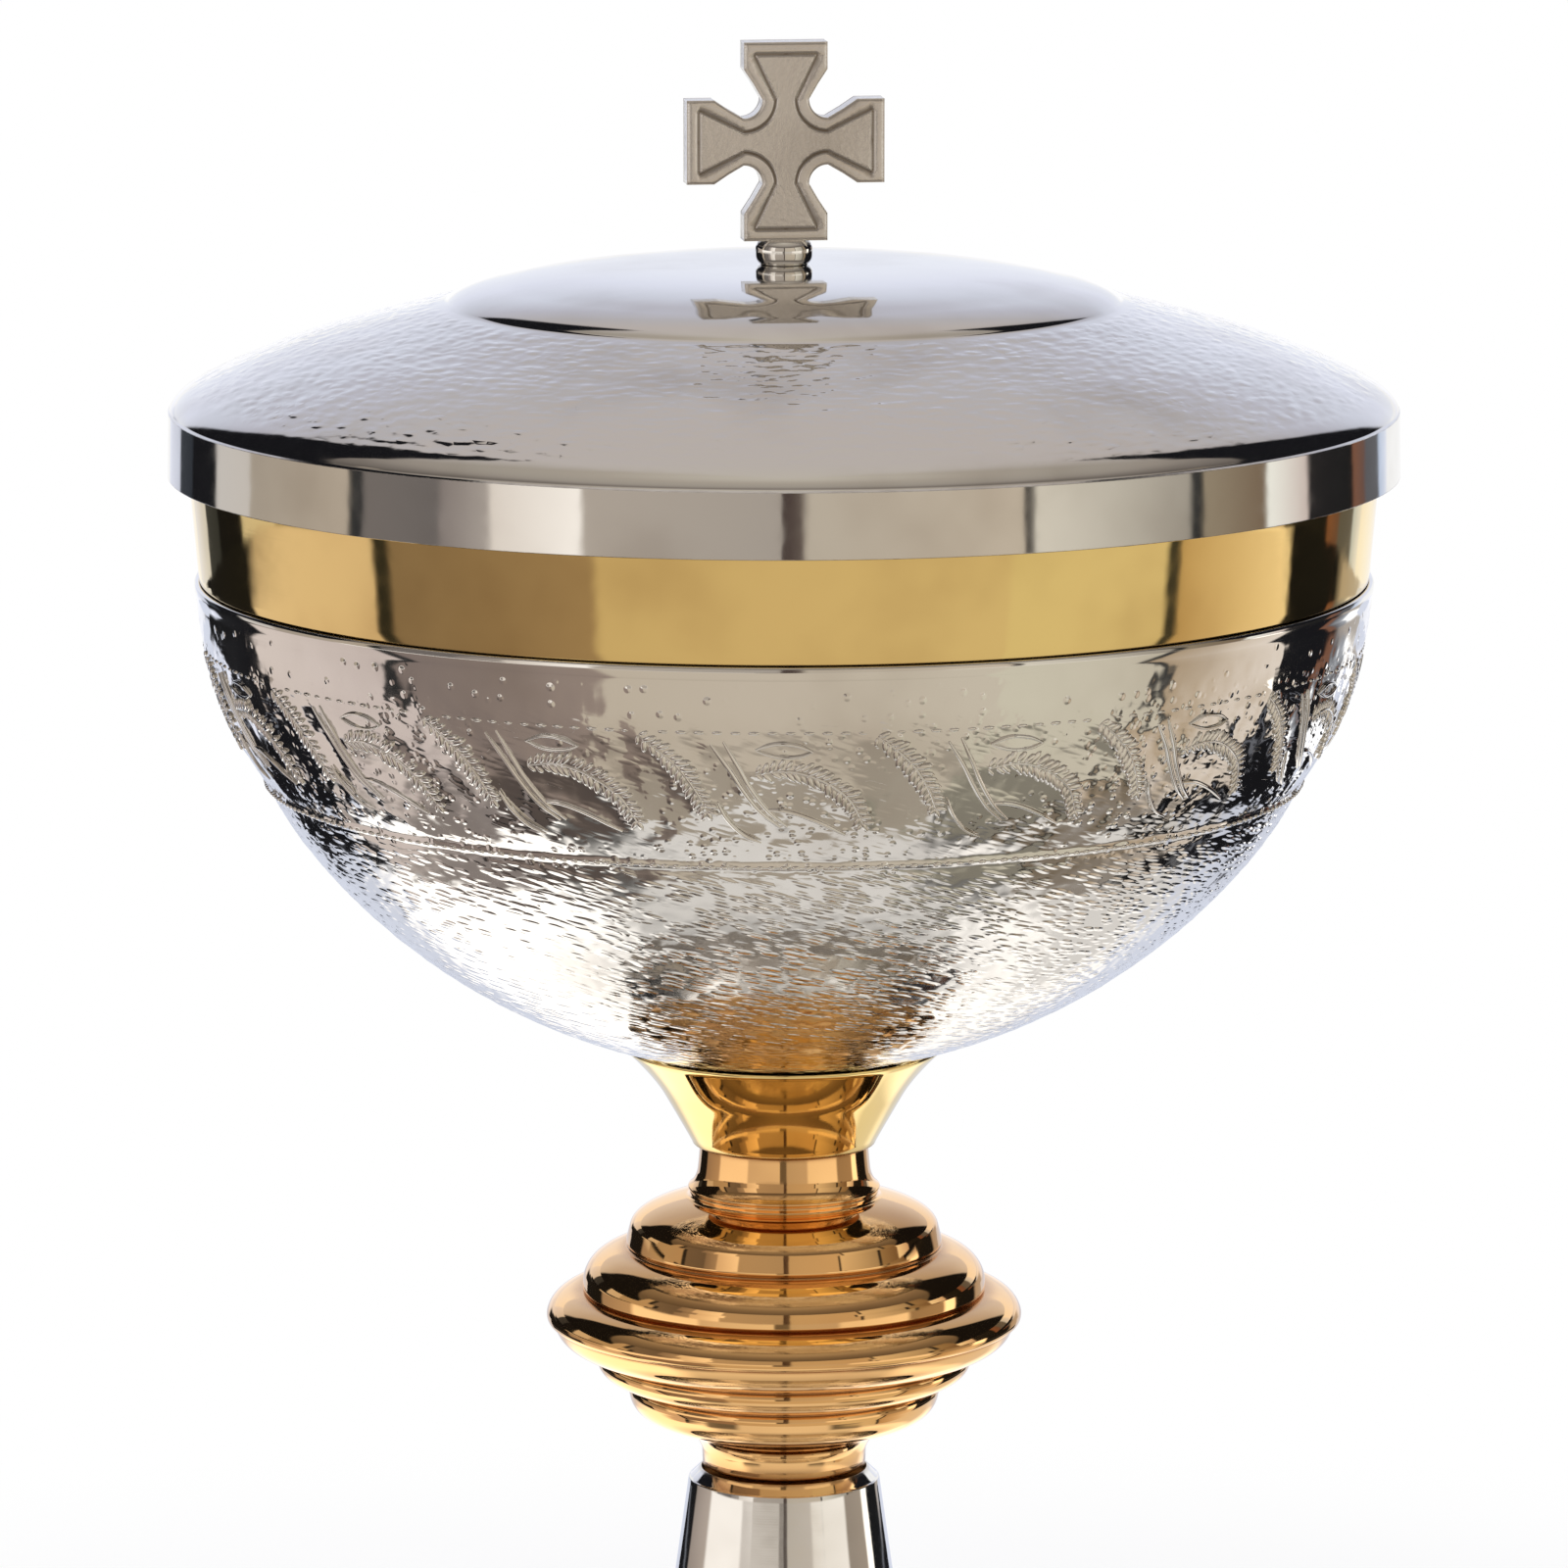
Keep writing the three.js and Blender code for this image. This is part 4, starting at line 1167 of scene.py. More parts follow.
def wheat_stalks(sizes, wheat, turns, silver):
    """The stalks, the leaves and the spines of the ears, as wires that thin out at their ends."""
    wires, edges, wire_sizes, first = [], [], [], 0
    for turn in turns:
        for line, thick in WIRES:
            points, _ = on_bowl(sizes, wheat, smooth_line(line, 0.5), turn, 0.02 * MM)
            wires.append(points)
            edges += [(first + k, first + k + 1) for k in range(len(points) - 1)]
            first += len(points)
            along = np.linspace(0, 1, len(points))
            wire_sizes.append(thick * (0.45 + 0.55 * np.minimum(1, 5 * np.minimum(along, 1 - along))))
    size = {"size": np.concatenate(wire_sizes)}
    lines = point_mesh("wheat_stalk_lines", np.concatenate(wires), size, edges)
    return wires_tree().make("wheat_stalks", lines, {"Radius": 0.26 * MM, "Material": silver})


def line_of_beads(sizes, name, drop, pitch, bead, lift, tree, silver):
    """A line of like beads round the bowl. bead is (length, width, height), and lift its place outwards."""
    count = int(round(TURN * bowl_radius(sizes, drop) / pitch))
    angle = np.arange(count) * TURN / count
    points, normal = bowl_point(sizes, angle, np.full(count, drop))
    way = np.stack([np.cos(angle), np.sin(angle), 0 * angle], -1)
    size = 0.85 + 0.3 * scatter(np.arange(count), 1.0, 8)
    kept = {"normal": normal, "way": way, "size": size}
    base = point_mesh(name + "_places", points + normal * lift, kept)
    long, wide, high = bead
    return tree.make(name, base, {"Length": long, "Width": wide, "Height": high, "Material": silver})


def frieze(sizes, wheat, studio):
    """The ears, the stalks, the punched line over them and the beaded line under them."""
    silver, beads = finish("silver_plate_polished"), beads_tree()
    first = studio.azimuth + FRIEZE_TURN
    turns = [first + TURN * k / wheat.modules for k in range(wheat.modules)]
    top, bottom = sizes.frieze_top, sizes.frieze_bottom
    punch, bead = (1.2 * MM, 0.42 * MM, 0.3 * MM), (0.85 * MM, 0.5 * MM, 0.34 * MM)
    return [
        wheat_ears(sizes, wheat, turns, beads, silver),
        wheat_stalks(sizes, wheat, turns, silver),
        line_of_beads(sizes, "punched_line", top, 1.9 * MM, punch, 0.0, beads, silver),
        line_of_beads(sizes, "beaded_line", bottom, 1.25 * MM, bead, waist(sizes, bottom), beads, silver),
    ]


# Stem


def collar_piece(sizes):
    """The flared collar under the bowl, open above and with a hole for the rod below."""
    low, high = cad_low("collar").z, cad_high("collar").z
    mouth, slim = sizes.collar_mouth, sizes.collar_waist
    wall, bore, floor = 1.3 * MM, 3.3 * MM, low + 1.5 * MM

    def point(out, up):
        return (slim + out * (mouth - slim), low + up * (high - low))

    throat, brim = point(0.297, 0.5), point(0.985, 0.965)
    waist_curves = [(point(-0.19, 0), point(-0.177, 0.03)), (point(0.05, 0.26), throat)]
    outer = curve_points((9.9 * MM, low), waist_curves, 10)
    outer += curve_points(throat, [(point(0.5, 0.7), brim)], 14)[1:]
    lip = curve_points(brim, [(point(1.02, 1.0), point(0.985, 1.0))], 4)[1:]
    inner = [(r - wall, z) for r, z in outer[10:][::-1]]
    outline = [(9.4 * MM, low), *outer, *lip, (mouth - wall, high - 0.75 * MM), *inner[3:]]
    outline += [(slim - wall, floor), (bore, floor), (bore, low)]

    def marks(radius, height, angle):
        # Painted shade round the collar's foot, where it meets the knop
        return {"grime": np.exp(-(((height - low) / (0.25 * MM)) ** 2)) * (radius > 9 * MM)}

    return turned("collar_turned", outline, 256, "gold_plate_yellow", None, marks)


# The knop's outline as curves, each (control, end), where a point is (share of the knop's radius, share
# of its height down from the top)
NECK = [((0.356, 0.045), (0.362, 0.078)), ((0.37, 0.112), (0.4, 0.127))]
NECK_BEAD = [((0.407, 0.134), (0.392, 0.14)), ((0.402, 0.147), (0.385, 0.156))]
UPPER_RINGS = [
    [((0.62, 0.19), (0.645, 0.242)), ((0.656, 0.27), (0.662, 0.291)), ((0.662, 0.303), (0.648, 0.308))],
    [((0.81, 0.322), (0.84, 0.392)), ((0.845, 0.41), (0.846, 0.424)), ((0.846, 0.434), (0.82, 0.435))],
    [((0.965, 0.438), (0.994, 0.496)), ((1.0, 0.508), (0.994, 0.519)), ((0.988, 0.528), (0.97, 0.53))],
]
LOWER_RINGS = [
    [((0.966, 0.54), (0.955, 0.556)), ((0.924, 0.6), (0.773, 0.625))],
    [((0.792, 0.639), (0.78, 0.661)), ((0.761, 0.692), (0.64, 0.713))],
    [((0.659, 0.726), (0.65, 0.747)), ((0.64, 0.805), (0.508, 0.829))],
]
BASE_COVE = [((0.37, 0.85), (0.345, 0.91))]


def knop_shells(sizes):
    """The two halves of the knop: the neck with its bead and the upper rings, and the lower rings with
    the base."""
    low, high = cad_low("knop_lower_shell").z, cad_high("knop_upper_shell").z
    radius, span, wall = sizes.knop_radius, high - low, sizes.wall

    def point(place):
        return (place[0] * radius, high - place[1] * span)

    def curves(pairs):
        return [(point(a), point(b)) for a, b in pairs]

    grooves = [point(ring[-1][1])[1] for ring in (*UPPER_RINGS, *LOWER_RINGS)]

    def marks(radius, height, angle):
        # Painted shade in the grooves between the rings and at the joints at the knop's two ends
        near = sum(np.exp(-(((height - groove) / (0.2 * MM)) ** 2)) for groove in grooves)
        ends = sum(np.exp(-(((height - end) / (0.3 * MM)) ** 2)) for end in (low, high))
        return {"grime": np.clip(0.55 * near + 0.8 * ends, 0, 1)}

    thick, lap_rise, floor, rod_hole = 1.3 * wall, 1.9 * MM, 1.4 * MM, 4.5 * MM
    bore = 8.22 * MM
    upper = curve_points((9.3 * MM, high), curves(NECK + NECK_BEAD + sum(UPPER_RINGS, [])), 14)
    seam = upper[-1]
    inner = seam[0] - thick
    inside = [(inner, seam[1]), (inner, seam[1] + lap_rise + 0.3 * MM)]
    for ring in UPPER_RINGS[1::-1]:
        groove, crest = point(ring[-1][1]), point(ring[0][1])
        inside += [(groove[0] - thick, groove[1] - 0.7 * wall), (groove[0] - thick, crest[1] - 0.4 * wall)]
    inside += [(bore, point((0, 0.124))[1]), (bore, high - floor)]
    inside += [(rod_hole, high - floor), (rod_hole, high)]
    top = turned("knop_upper_turned", [*upper, *inside], 288, "gold_plate_rose", None, marks)
    lower = curve_points(tuple(seam), curves(sum(LOWER_RINGS, []) + BASE_COVE), 14)
    lower.append((8.95 * MM, low))
    base = [(rod_hole, low), (rod_hole, low + floor), (bore, low + floor), (bore, point((0, 0.85))[1])]
    steps = []
    for ring in LOWER_RINGS:
        groove = point(ring[-1][1])
        steps += [(groove[0] - thick, groove[1] + 0.75 * wall), (groove[0] - thick, groove[1] - 0.85 * wall)]
    lap, rise = inner - 0.3 * MM, seam[1] + lap_rise
    joint = [(lap - wall, seam[1] - wall), (lap - wall, rise), (lap, rise), (lap, seam[1])]
    outline = [*lower, *base, *steps[:-1][::-1], *joint]
    bottom = turned("knop_lower_turned", outline, 288, "gold_plate_rose", None, marks)
    return top, bottom


def foot_shell(sizes):
    """The trumpet foot, with the ledge that it is clamped by and the small lip round the knop's base."""
    high = cad_low("knop_lower_shell").z
    rim, rounding, wall = 3 * MM, 1.6 * MM, sizes.wall
    mouth, edge_radius, cone = sizes.foot_mouth, sizes.foot_radius, 0.14
    span, shoulder = high - rim - rounding, edge_radius - rounding

    def radius_at(depth):
        return mouth + cone * depth + (shoulder - mouth - cone * span) * (depth / span) ** sizes.foot_flare

    depths = span * (1 - np.linspace(0, 1, 400))
    trumpet = resampled([(radius_at(d), high - d) for d in depths], 0.55 * MM)
    hole, lip_hole = 9.8 * MM, 9.15 * MM
    corner, lip_top = (mouth - 0.2 * MM, high + 0.15 * MM), (lip_hole + 0.1 * MM, high + 1.25 * MM)
    lip = curve_points(trumpet[-1], [((mouth, high + 0.1 * MM), corner)], 4)
    lip += curve_points(corner, [((hole, high + 0.75 * MM), lip_top)], 8)[1:]
    lip += [(lip_hole, high + 1.2 * MM), (lip_hole, high + 0.3 * MM), (hole, high + 0.1 * MM)]
    ledge, under, ledge_hole = high - 2 * MM, high - 3.6 * MM, 6 * MM
    inner = [(r - 0.75 * wall, z - 0.85 * wall) for r, z in trumpet[6::8] if z < under - 2.5 * wall]
    edge = [(edge_radius, 0), (edge_radius, rim)]
    edge += curve_points(edge[-1], [((edge_radius, rim + rounding), tuple(trumpet[0]))], 8)[1:]
    outline = [*edge, *trumpet[1:], *lip[1:], (hole, ledge), (ledge_hole, ledge), (ledge_hole, under)]
    outline += [(radius_at(high - under) - wall, under), *inner[::-1]]
    outline += [(edge_radius - wall, rim - wall / 3), (edge_radius - wall, 0)]
    hammer_top = 30 * MM

    def zone(height):
        """1 on the hammered lower part, 0 above it and on the rim."""
        below_top = soft_step(-height, -hammer_top, -hammer_top + 8 * MM)
        return below_top * soft_step(height, rim + 2 * MM, rim + 4 * MM)

    def relief(radius, height, angle):
        path = path_down(radius, height)
        return 0.07 * MM * hammering(path, angle, radius, 1.3 * MM, 2.0 * MM, 31, 0.2) * zone(height)

    def marks(radius, height, angle):
        # Painted shade in the seam inside the small lip round the knop's base
        seam = np.exp(-(((height - high - 1.2 * MM) / (0.2 * MM)) ** 2)) * (radius < hole)
        return {"hammer": 0.6 * zone(height), "run": path_down(radius, height), "grime": 0.4 * seam}

    return turned("foot_trumpet", rounded(outline, 0.12 * MM, 2), 400, "silver_plate_hammered", relief, marks)


def base_ring():
    """The stiffening ring inside the foot's rim."""
    outside, top = cad_high("foot_base_ring").x, cad_high("foot_base_ring").z
    inside = outside - 3.3 * MM
    outline = [(inside, 0), (outside, 0), (outside, top), (inside, top)]
    return turned("foot_base_ring_fine", rounded(outline, 0.3 * MM), 200, "brass_turned")


# Studio


# What the metal sees round the object, as panels (from, to, level at from, level at to), in degrees
# round it with 0 towards the camera and the right side positive. First what stands at the height of
# the object
LEFT_SIDE = [
    (-180, -166, (1.0, 1.0, 1.0), (1.0, 1.0, 1.0)),
    (-165, -153, (0.85, 0.88, 1.0), (0.66, 0.69, 0.8)),
    (-152, -144, (0.05, 0.055, 0.065), (0.035, 0.04, 0.05)),
    (-143, -131, (0.01, 0.01, 0.012), (0.01, 0.01, 0.012)),
    (-130, -117, (0.62, 0.58, 0.54), (0.62, 0.57, 0.52)),
    (-116, -87.5, (0.42, 0.36, 0.29), (0.5, 0.42, 0.33)),
    (-86.5, -84, (0.03, 0.03, 0.03), (0.03, 0.03, 0.03)),
    (-83, -66, (0.19, 0.165, 0.15), (0.17, 0.15, 0.14)),
    (-65, -55.5, (0.28, 0.24, 0.22), (0.42, 0.37, 0.33)),
    (-54.5, -37.5, (0.8, 0.72, 0.64), (1.05, 0.98, 0.9)),
    (-36.5, -0.5, (0.47, 0.41, 0.35), (0.42, 0.37, 0.32)),
]
RIGHT_SIDE = [
    (-0.4, 3.4, (0.06, 0.04, 0.035), (0.12, 0.09, 0.075)),
    (4, 44, (0.54, 0.47, 0.38), (0.6, 0.51, 0.4)),
    (44.5, 46, (0.08, 0.07, 0.06), (0.08, 0.07, 0.06)),
    (46.5, 79.5, (0.74, 0.68, 0.57), (0.4, 0.36, 0.3)),
    (80.5, 82.5, (0.03, 0.03, 0.03), (0.03, 0.03, 0.03)),
    (83.5, 99.5, (0.32, 0.26, 0.18), (0.2, 0.14, 0.09)),
    (100.5, 112.5, (0.95, 0.94, 0.85), (0.66, 0.55, 0.5)),
    (113.5, 130.5, (0.02, 0.018, 0.018), (0.014, 0.014, 0.014)),
    (131.5, 136.5, (0.22, 0.1, 0.06), (0.16, 0.09, 0.07)),
    (137.5, 145, (0.12, 0.12, 0.13), (0.14, 0.14, 0.15)),
    (146, 151, (0.56, 0.65, 0.82), (0.82, 0.86, 0.98)),
    (152, 180, (1.0, 1.0, 1.0), (1.0, 1.0, 1.0)),
]
# What it sees steeply below that height
LEFT_BELOW = [
    (-180, -162, (1.8, 1.8, 1.8), (1.8, 1.8, 1.8)),
    (-160, -150, (1.2, 1.22, 1.35), (0.7, 0.73, 0.85)),
    (-149, -130, (0.02, 0.02, 0.022), (0.01, 0.01, 0.012)),
    (-128, -87.5, (0.74, 0.64, 0.58), (0.68, 0.58, 0.54)),
    (-86.5, -83.5, (0.03, 0.03, 0.03), (0.03, 0.03, 0.03)),
    (-82, -38, (0.24, 0.19, 0.17), (0.32, 0.25, 0.21)),
    (-36, -0.5, (0.57, 0.49, 0.39), (0.6, 0.52, 0.42)),
]
RIGHT_BELOW = [
    (-0.4, 44, (0.6, 0.52, 0.42), (0.63, 0.56, 0.45)),
    (45, 79.5, (0.66, 0.61, 0.48), (0.68, 0.62, 0.5)),
    (80.5, 82.5, (0.05, 0.05, 0.05), (0.05, 0.05, 0.05)),
    (83.5, 116, (0.52, 0.4, 0.27), (0.85, 0.75, 0.65)),
    (117, 135, (0.01, 0.01, 0.012), (0.01, 0.01, 0.012)),
    (136, 139, (0.22, 0.1, 0.06), (0.2, 0.1, 0.07)),
    (140, 146, (0.14, 0.14, 0.15), (0.4, 0.42, 0.46)),
    (149, 180, (1.8, 1.8, 1.8), (1.8, 1.8, 1.8)),
]
# What it sees a little below that height, past the edge of the table
LEFT_LOW = [
    (-180, -160, (1.1, 1.1, 1.15), (0.9, 0.92, 1.0)),
    (-157, -128, (0.012, 0.012, 0.013), (0.012, 0.012, 0.013)),
    (-125, -98, (0.36, 0.3, 0.26), (0.5, 0.42, 0.36)),
    (-94, -51, (1.1, 1.03, 0.95), (1.15, 1.08, 1.0)),
    (-48, -6, (0.72, 0.66, 0.6), (0.8, 0.74, 0.66)),
    (-5, -0.5, (0.16, 0.14, 0.12), (0.16, 0.14, 0.12)),
]
RIGHT_LOW = [
    (-0.4, 2.6, (0.16, 0.14, 0.12), (0.16, 0.14, 0.12)),
    (4, 30, (0.55, 0.5, 0.44), (0.6, 0.54, 0.48)),
    (33, 74, (0.95, 0.88, 0.78), (1.05, 0.98, 0.88)),
    (77, 102, (0.36, 0.3, 0.24), (0.4, 0.33, 0.26)),
    (105, 113, (1.7, 1.6, 1.45), (1.6, 1.5, 1.35)),
    (115, 138, (0.012, 0.012, 0.013), (0.012, 0.012, 0.013)),
    (142, 154, (0.45, 0.4, 0.36), (0.5, 0.46, 0.42)),
    (158, 180, (0.9, 0.92, 1.0), (1.1, 1.1, 1.15)),
]
# Each height's two lists, and a level that none of theirs passes
AT_OBJECT = (LEFT_SIDE, RIGHT_SIDE, 1.1)
STEEPLY_BELOW = (LEFT_BELOW, RIGHT_BELOW, 2.0)
JUST_BELOW = (LEFT_LOW, RIGHT_LOW, 1.8)
# Levels up from the horizon, as (degrees, level), in front of the object and behind it
FRONT_RISE = [
    (0, (0.16, 0.14, 0.12)),
    (22, (0.13, 0.115, 0.1)),
    (32, (0.14, 0.12, 0.105)),
    (44, (0.23, 0.2, 0.175)),
    (52, (0.33, 0.29, 0.25)),
    (60, (0.38, 0.34, 0.29)),
    (72, (0.43, 0.38, 0.32)),
    (84, (0.53, 0.48, 0.41)),
    (90, (0.55, 0.5, 0.44)),
]
BACK_RISE = [
    (0, (1.0, 1.0, 1.0)),
    (5, (0.88, 0.91, 1.0)),
    (12, (0.79, 0.82, 0.95)),
    (20, (0.67, 0.7, 0.81)),
    (28, (0.54, 0.54, 0.62)),
    (37, (0.5, 0.48, 0.5)),
    (50, (0.53, 0.48, 0.46)),
    (90, (0.55, 0.5, 0.44)),
]


def all_round(nodes, bearing, left, right, brightest):
    """The level of the panels of a height, by degrees round the object."""

    def panels(side, start, end):
        stops = []
        for low, high, first, last in side:
            for angle, level in ((low, first), (high, last)):
                stops.append(((angle - start) / (end - start), tuple(part / brightest for part in level)))
        return nodes.times(nodes.ramp(nodes.scale(bearing, start, end), stops), brightest)

    on_right = nodes.math("GREATER_THAN", bearing, -0.45)
    return nodes.mix(on_right, panels(left, -180, -0.5), panels(right, -0.4, 180))


def room_above(nodes, rise, aside, bearing):
    """The room above the object: walls and ceiling, with the dark curtains that hang at the sides."""
    front, back = (
        nodes.ramp(nodes.scale(rise, 0, 90), [(angle / 90, rgb) for angle, rgb in levels])
        for levels in (FRONT_RISE, BACK_RISE)
    )
    walls = nodes.mix(nodes.step(aside, 120, 160), front, back)
    # The curtains rise towards the back, and the left one is wider where it is high
    curtain_top = nodes.scale(aside, 95, 125, 22, 50)
    curtain_top = nodes.math("ADD", curtain_top, nodes.scale(aside, 125, 148, 0, 6))
    wider = nodes.math("MULTIPLY", nodes.step(bearing, 10, -10), nodes.step(rise, 24, 36, 0, 6))
    curtain_end = nodes.math("SUBTRACT", aside, wider)
    between = nodes.math("MULTIPLY", nodes.step(aside, 92, 97), nodes.step(curtain_end, 150, 146))
    under = nodes.step(nodes.math("SUBTRACT", curtain_top, rise), -1.5, 1.5)
    return nodes.mix(nodes.math("MULTIPLY", between, under), walls, (0.0085, 0.0085, 0.0105))


def studio_world(settings):
    """A white surround for the camera, a plain soft light, and for the metal the dim room that a
    photographer stands in: pale sweep behind, dark curtains at the sides, beige walls in front."""
    world = bpy.data.worlds.new("studio")
    world.use_nodes = True
    nodes = Nodes(world.node_tree)
    x, y, z = nodes.split(nodes.add("ShaderNodeTexCoord").outputs["Generated"])
    degrees = 180 / math.pi
    bearing = nodes.math("ARCTAN2", x, nodes.math("MULTIPLY", y, -1.0))
    bearing = nodes.math("SUBTRACT", nodes.math("MULTIPLY", bearing, degrees), settings.azimuth * degrees)
    bearing = nodes.math("WRAP", bearing, 180.0, -180.0)
    rise = nodes.math("MULTIPLY", nodes.math("ARCSINE", z), degrees)
    aside = nodes.math("ABSOLUTE", bearing)
    # From below upwards. Straight down it is darker, and most so at the sides and behind
    below = all_round(nodes, bearing, *STEEPLY_BELOW)
    shaded = nodes.mix(nodes.step(aside, 35, 60, 0.3, 0.6), below, (0.0, 0.0, 0.0))
    level = nodes.mix(nodes.step(rise, -35, -48), below, shaded)
    level = nodes.mix(nodes.step(rise, -14, -12), level, all_round(nodes, bearing, *JUST_BELOW))
    level = nodes.mix(nodes.step(rise, 0, 2.5), level, all_round(nodes, bearing, *AT_OBJECT))
    # The walls reach 30 degrees up in front of the object, and 3 degrees behind it
    wall_top = nodes.step(aside, 92, 98, 30.0, 3.0)
    over = nodes.step(nodes.math("SUBTRACT", rise, wall_top), -0.6, 0.6)
    room = nodes.mix(over, level, room_above(nodes, rise, aside, bearing))
    rays = nodes.add("ShaderNodeLightPath").outputs

    def glow(level, strength):
        return nodes.add("ShaderNodeBackground", {"Color": level, "Strength": strength})

    white = (1, 1, 1, 1)
    mirrored = nodes.blend(rays["Is Glossy Ray"], glow(white, settings.fill), glow(room, 1.0))
    nodes.end_in(nodes.blend(rays["Is Camera Ray"], mirrored, glow(white, 1.0)), "ShaderNodeOutputWorld")
    bpy.context.scene.world = world


def turn_round(nodes, place, azimuth):
    """The angle of a place round the object, from the camera's side, in radians."""
    cosine, sine = math.cos(azimuth), math.sin(azimuth)
    across = nodes.vector("DOT_PRODUCT", place, (cosine, sine, 0))
    towards = nodes.vector("DOT_PRODUCT", place, (sine, -cosine, 0))
    return nodes.math("ARCTAN2", across, towards)


def wall_finish(settings):
    """The part of the room that stands round the object at its own height, as the metal sees it. It is
    near, so that it shifts along the metal as real walls do."""
    material, nodes = new_material("near_wall")
    material.cycles.emission_sampling = "NONE"
    turn = turn_round(nodes, nodes.place(), settings.azimuth)
    # A ray that the bowl mirrors meets a near wall less far round than its bearing, which this undoes
    spread = nodes.math("MULTIPLY", nodes.math("SINE", nodes.math("MULTIPLY", turn, 0.55)), 12.9)
    bearing = nodes.math("MULTIPLY_ADD", turn, 180 / math.pi, spread)
    bearing = nodes.math("MAXIMUM", nodes.math("MINIMUM", bearing, 180.0), -180.0)
    level = all_round(nodes, bearing, *AT_OBJECT)
    nodes.end_in(nodes.add("ShaderNodeEmission", {"Color": level, "Strength": 1.0}))
    return material


def table_level(nodes, turn, aside, out):
    """The table top as the metal sees it, by degrees round it and metres out: a glowing surface with painted
    light, lit most on the left and near the foot on the right, with a duller stripe on each side, painted
    shade by the foot, and fading to the pale sweep behind."""
    level = nodes.step(turn, -48, -72, 0.8, 1.6)
    level = nodes.math("ADD", level, nodes.step(turn, 132, 150, 0, 0.6))
    # A painted pool of light near the foot on the right
    painted_light_near_right = nodes.math("MULTIPLY", nodes.step(turn, 55, 75), nodes.step(out, 0.112, 0.092, 0, 0.5))
    level = nodes.math("ADD", level, painted_light_near_right)
    stripe = nodes.math("MULTIPLY", nodes.step(aside, 32, 40), nodes.step(aside, 66, 58))
    stripe = nodes.math("MULTIPLY", stripe, nodes.step(out, 0.085, 0.12))
    level = nodes.math("MULTIPLY", level, nodes.math("MULTIPLY_ADD", stripe, -0.8, 1.0))
    # Painted shade on the table top round the foot
    level = nodes.math("MULTIPLY", level, nodes.step(out, 0.05, 0.09, 0.6, 1.0))
    far = nodes.math("MULTIPLY", nodes.step(out, 0.165, 0.235), nodes.step(aside, 95, 115))
    return nodes.mix(far, nodes.times((1, 0.96, 0.91), level), (0.72, 0.76, 0.88))


def table_edge(nodes, turn, aside):
    """How far out the table top ends: near in front, a little nearer on the right, further at the sides,
    and nowhere behind."""
    edge = nodes.scale(aside, 88, 112, 0.127, 0.17)
    edge = nodes.math("ADD", edge, nodes.scale(aside, 112, 140, 0, 0.12))
    shorter = nodes.math("MULTIPLY", nodes.step(turn, 35, 50), nodes.step(turn, 105, 88, 0, 0.006))
    edge = nodes.math("SUBTRACT", edge, shorter)
    return nodes.math("ADD", edge, nodes.scale(aside, 150, 153, 0, 2.0))


def floor_finish(settings, shade):
    """A pale floor that melts into the white surround. The metal sees a glowing table top in its place, with
    painted light and shade, an end, and a black card lying on each side."""
    material, nodes = new_material("pale_floor")
    place = nodes.place()
    turn = nodes.math("MULTIPLY", turn_round(nodes, place, settings.azimuth), 180 / math.pi)
    aside = nodes.math("ABSOLUTE", turn)
    out = nodes.vector("LENGTH", place)
    rays = nodes.add("ShaderNodeLightPath").outputs
    past_edge = nodes.math("SUBTRACT", out, table_edge(nodes, turn, aside))
    beyond = nodes.step(past_edge, -0.008, 0.008)
    card = nodes.math("MULTIPLY", nodes.step(aside, 110, 114), nodes.step(aside, 152, 150))
    card = nodes.math("MULTIPLY", card, nodes.step(out, 0.42, 0.38))
    card = nodes.math("MULTIPLY", card, beyond)
    dark = nodes.math("MULTIPLY", card, rays["Is Glossy Ray"])
    open_air = nodes.math("MULTIPLY", nodes.math("SUBTRACT", beyond, card), rays["Is Glossy Ray"])
    melted = nodes.math("MULTIPLY", nodes.step(out, 0.19, 0.3), rays["Is Camera Ray"])
    clouds = nodes.step(nodes.noise(place, 14, 3), 0.3, 0.8)
    mottled = nodes.mix(clouds, tuple(shade), tuple(0.985 * part for part in shade))
    level = table_level(nodes, turn, aside, out)
    # For mirrored rays the floor glows as a table top with painted light and shade
    table = nodes.add("ShaderNodeEmission", {"Color": level, "Strength": 1.0})
    board = nodes.add("ShaderNodeBsdfDiffuse", {"Color": mottled})
    board = nodes.blend(rays["Is Glossy Ray"], board, table)
    white = nodes.add("ShaderNodeEmission", {"Color": (1, 1, 1, 1), "Strength": 1.0})
    black = nodes.add("ShaderNodeBsdfDiffuse", {"Color": (0.01, 0.01, 0.012, 1)})
    surface = nodes.blend(dark, nodes.blend(melted, board, white), black)
    nodes.end_in(nodes.blend(open_air, surface, nodes.add("ShaderNodeBsdfTransparent")))
    return material


def circle_points(radius, height, sides):
    turns = [TURN * k / sides for k in range(sides)]
    return [(radius * math.cos(turn), radius * math.sin(turn), height) for turn in turns]


def stage_piece(name, points, faces, material):
    """A plain piece of the studio, which is not part of the object."""
    mesh = bpy.data.meshes.new(name)
    mesh.from_pydata(points, [], faces)
    mesh.materials.append(material)
    piece = placed(name, mesh)
    return piece


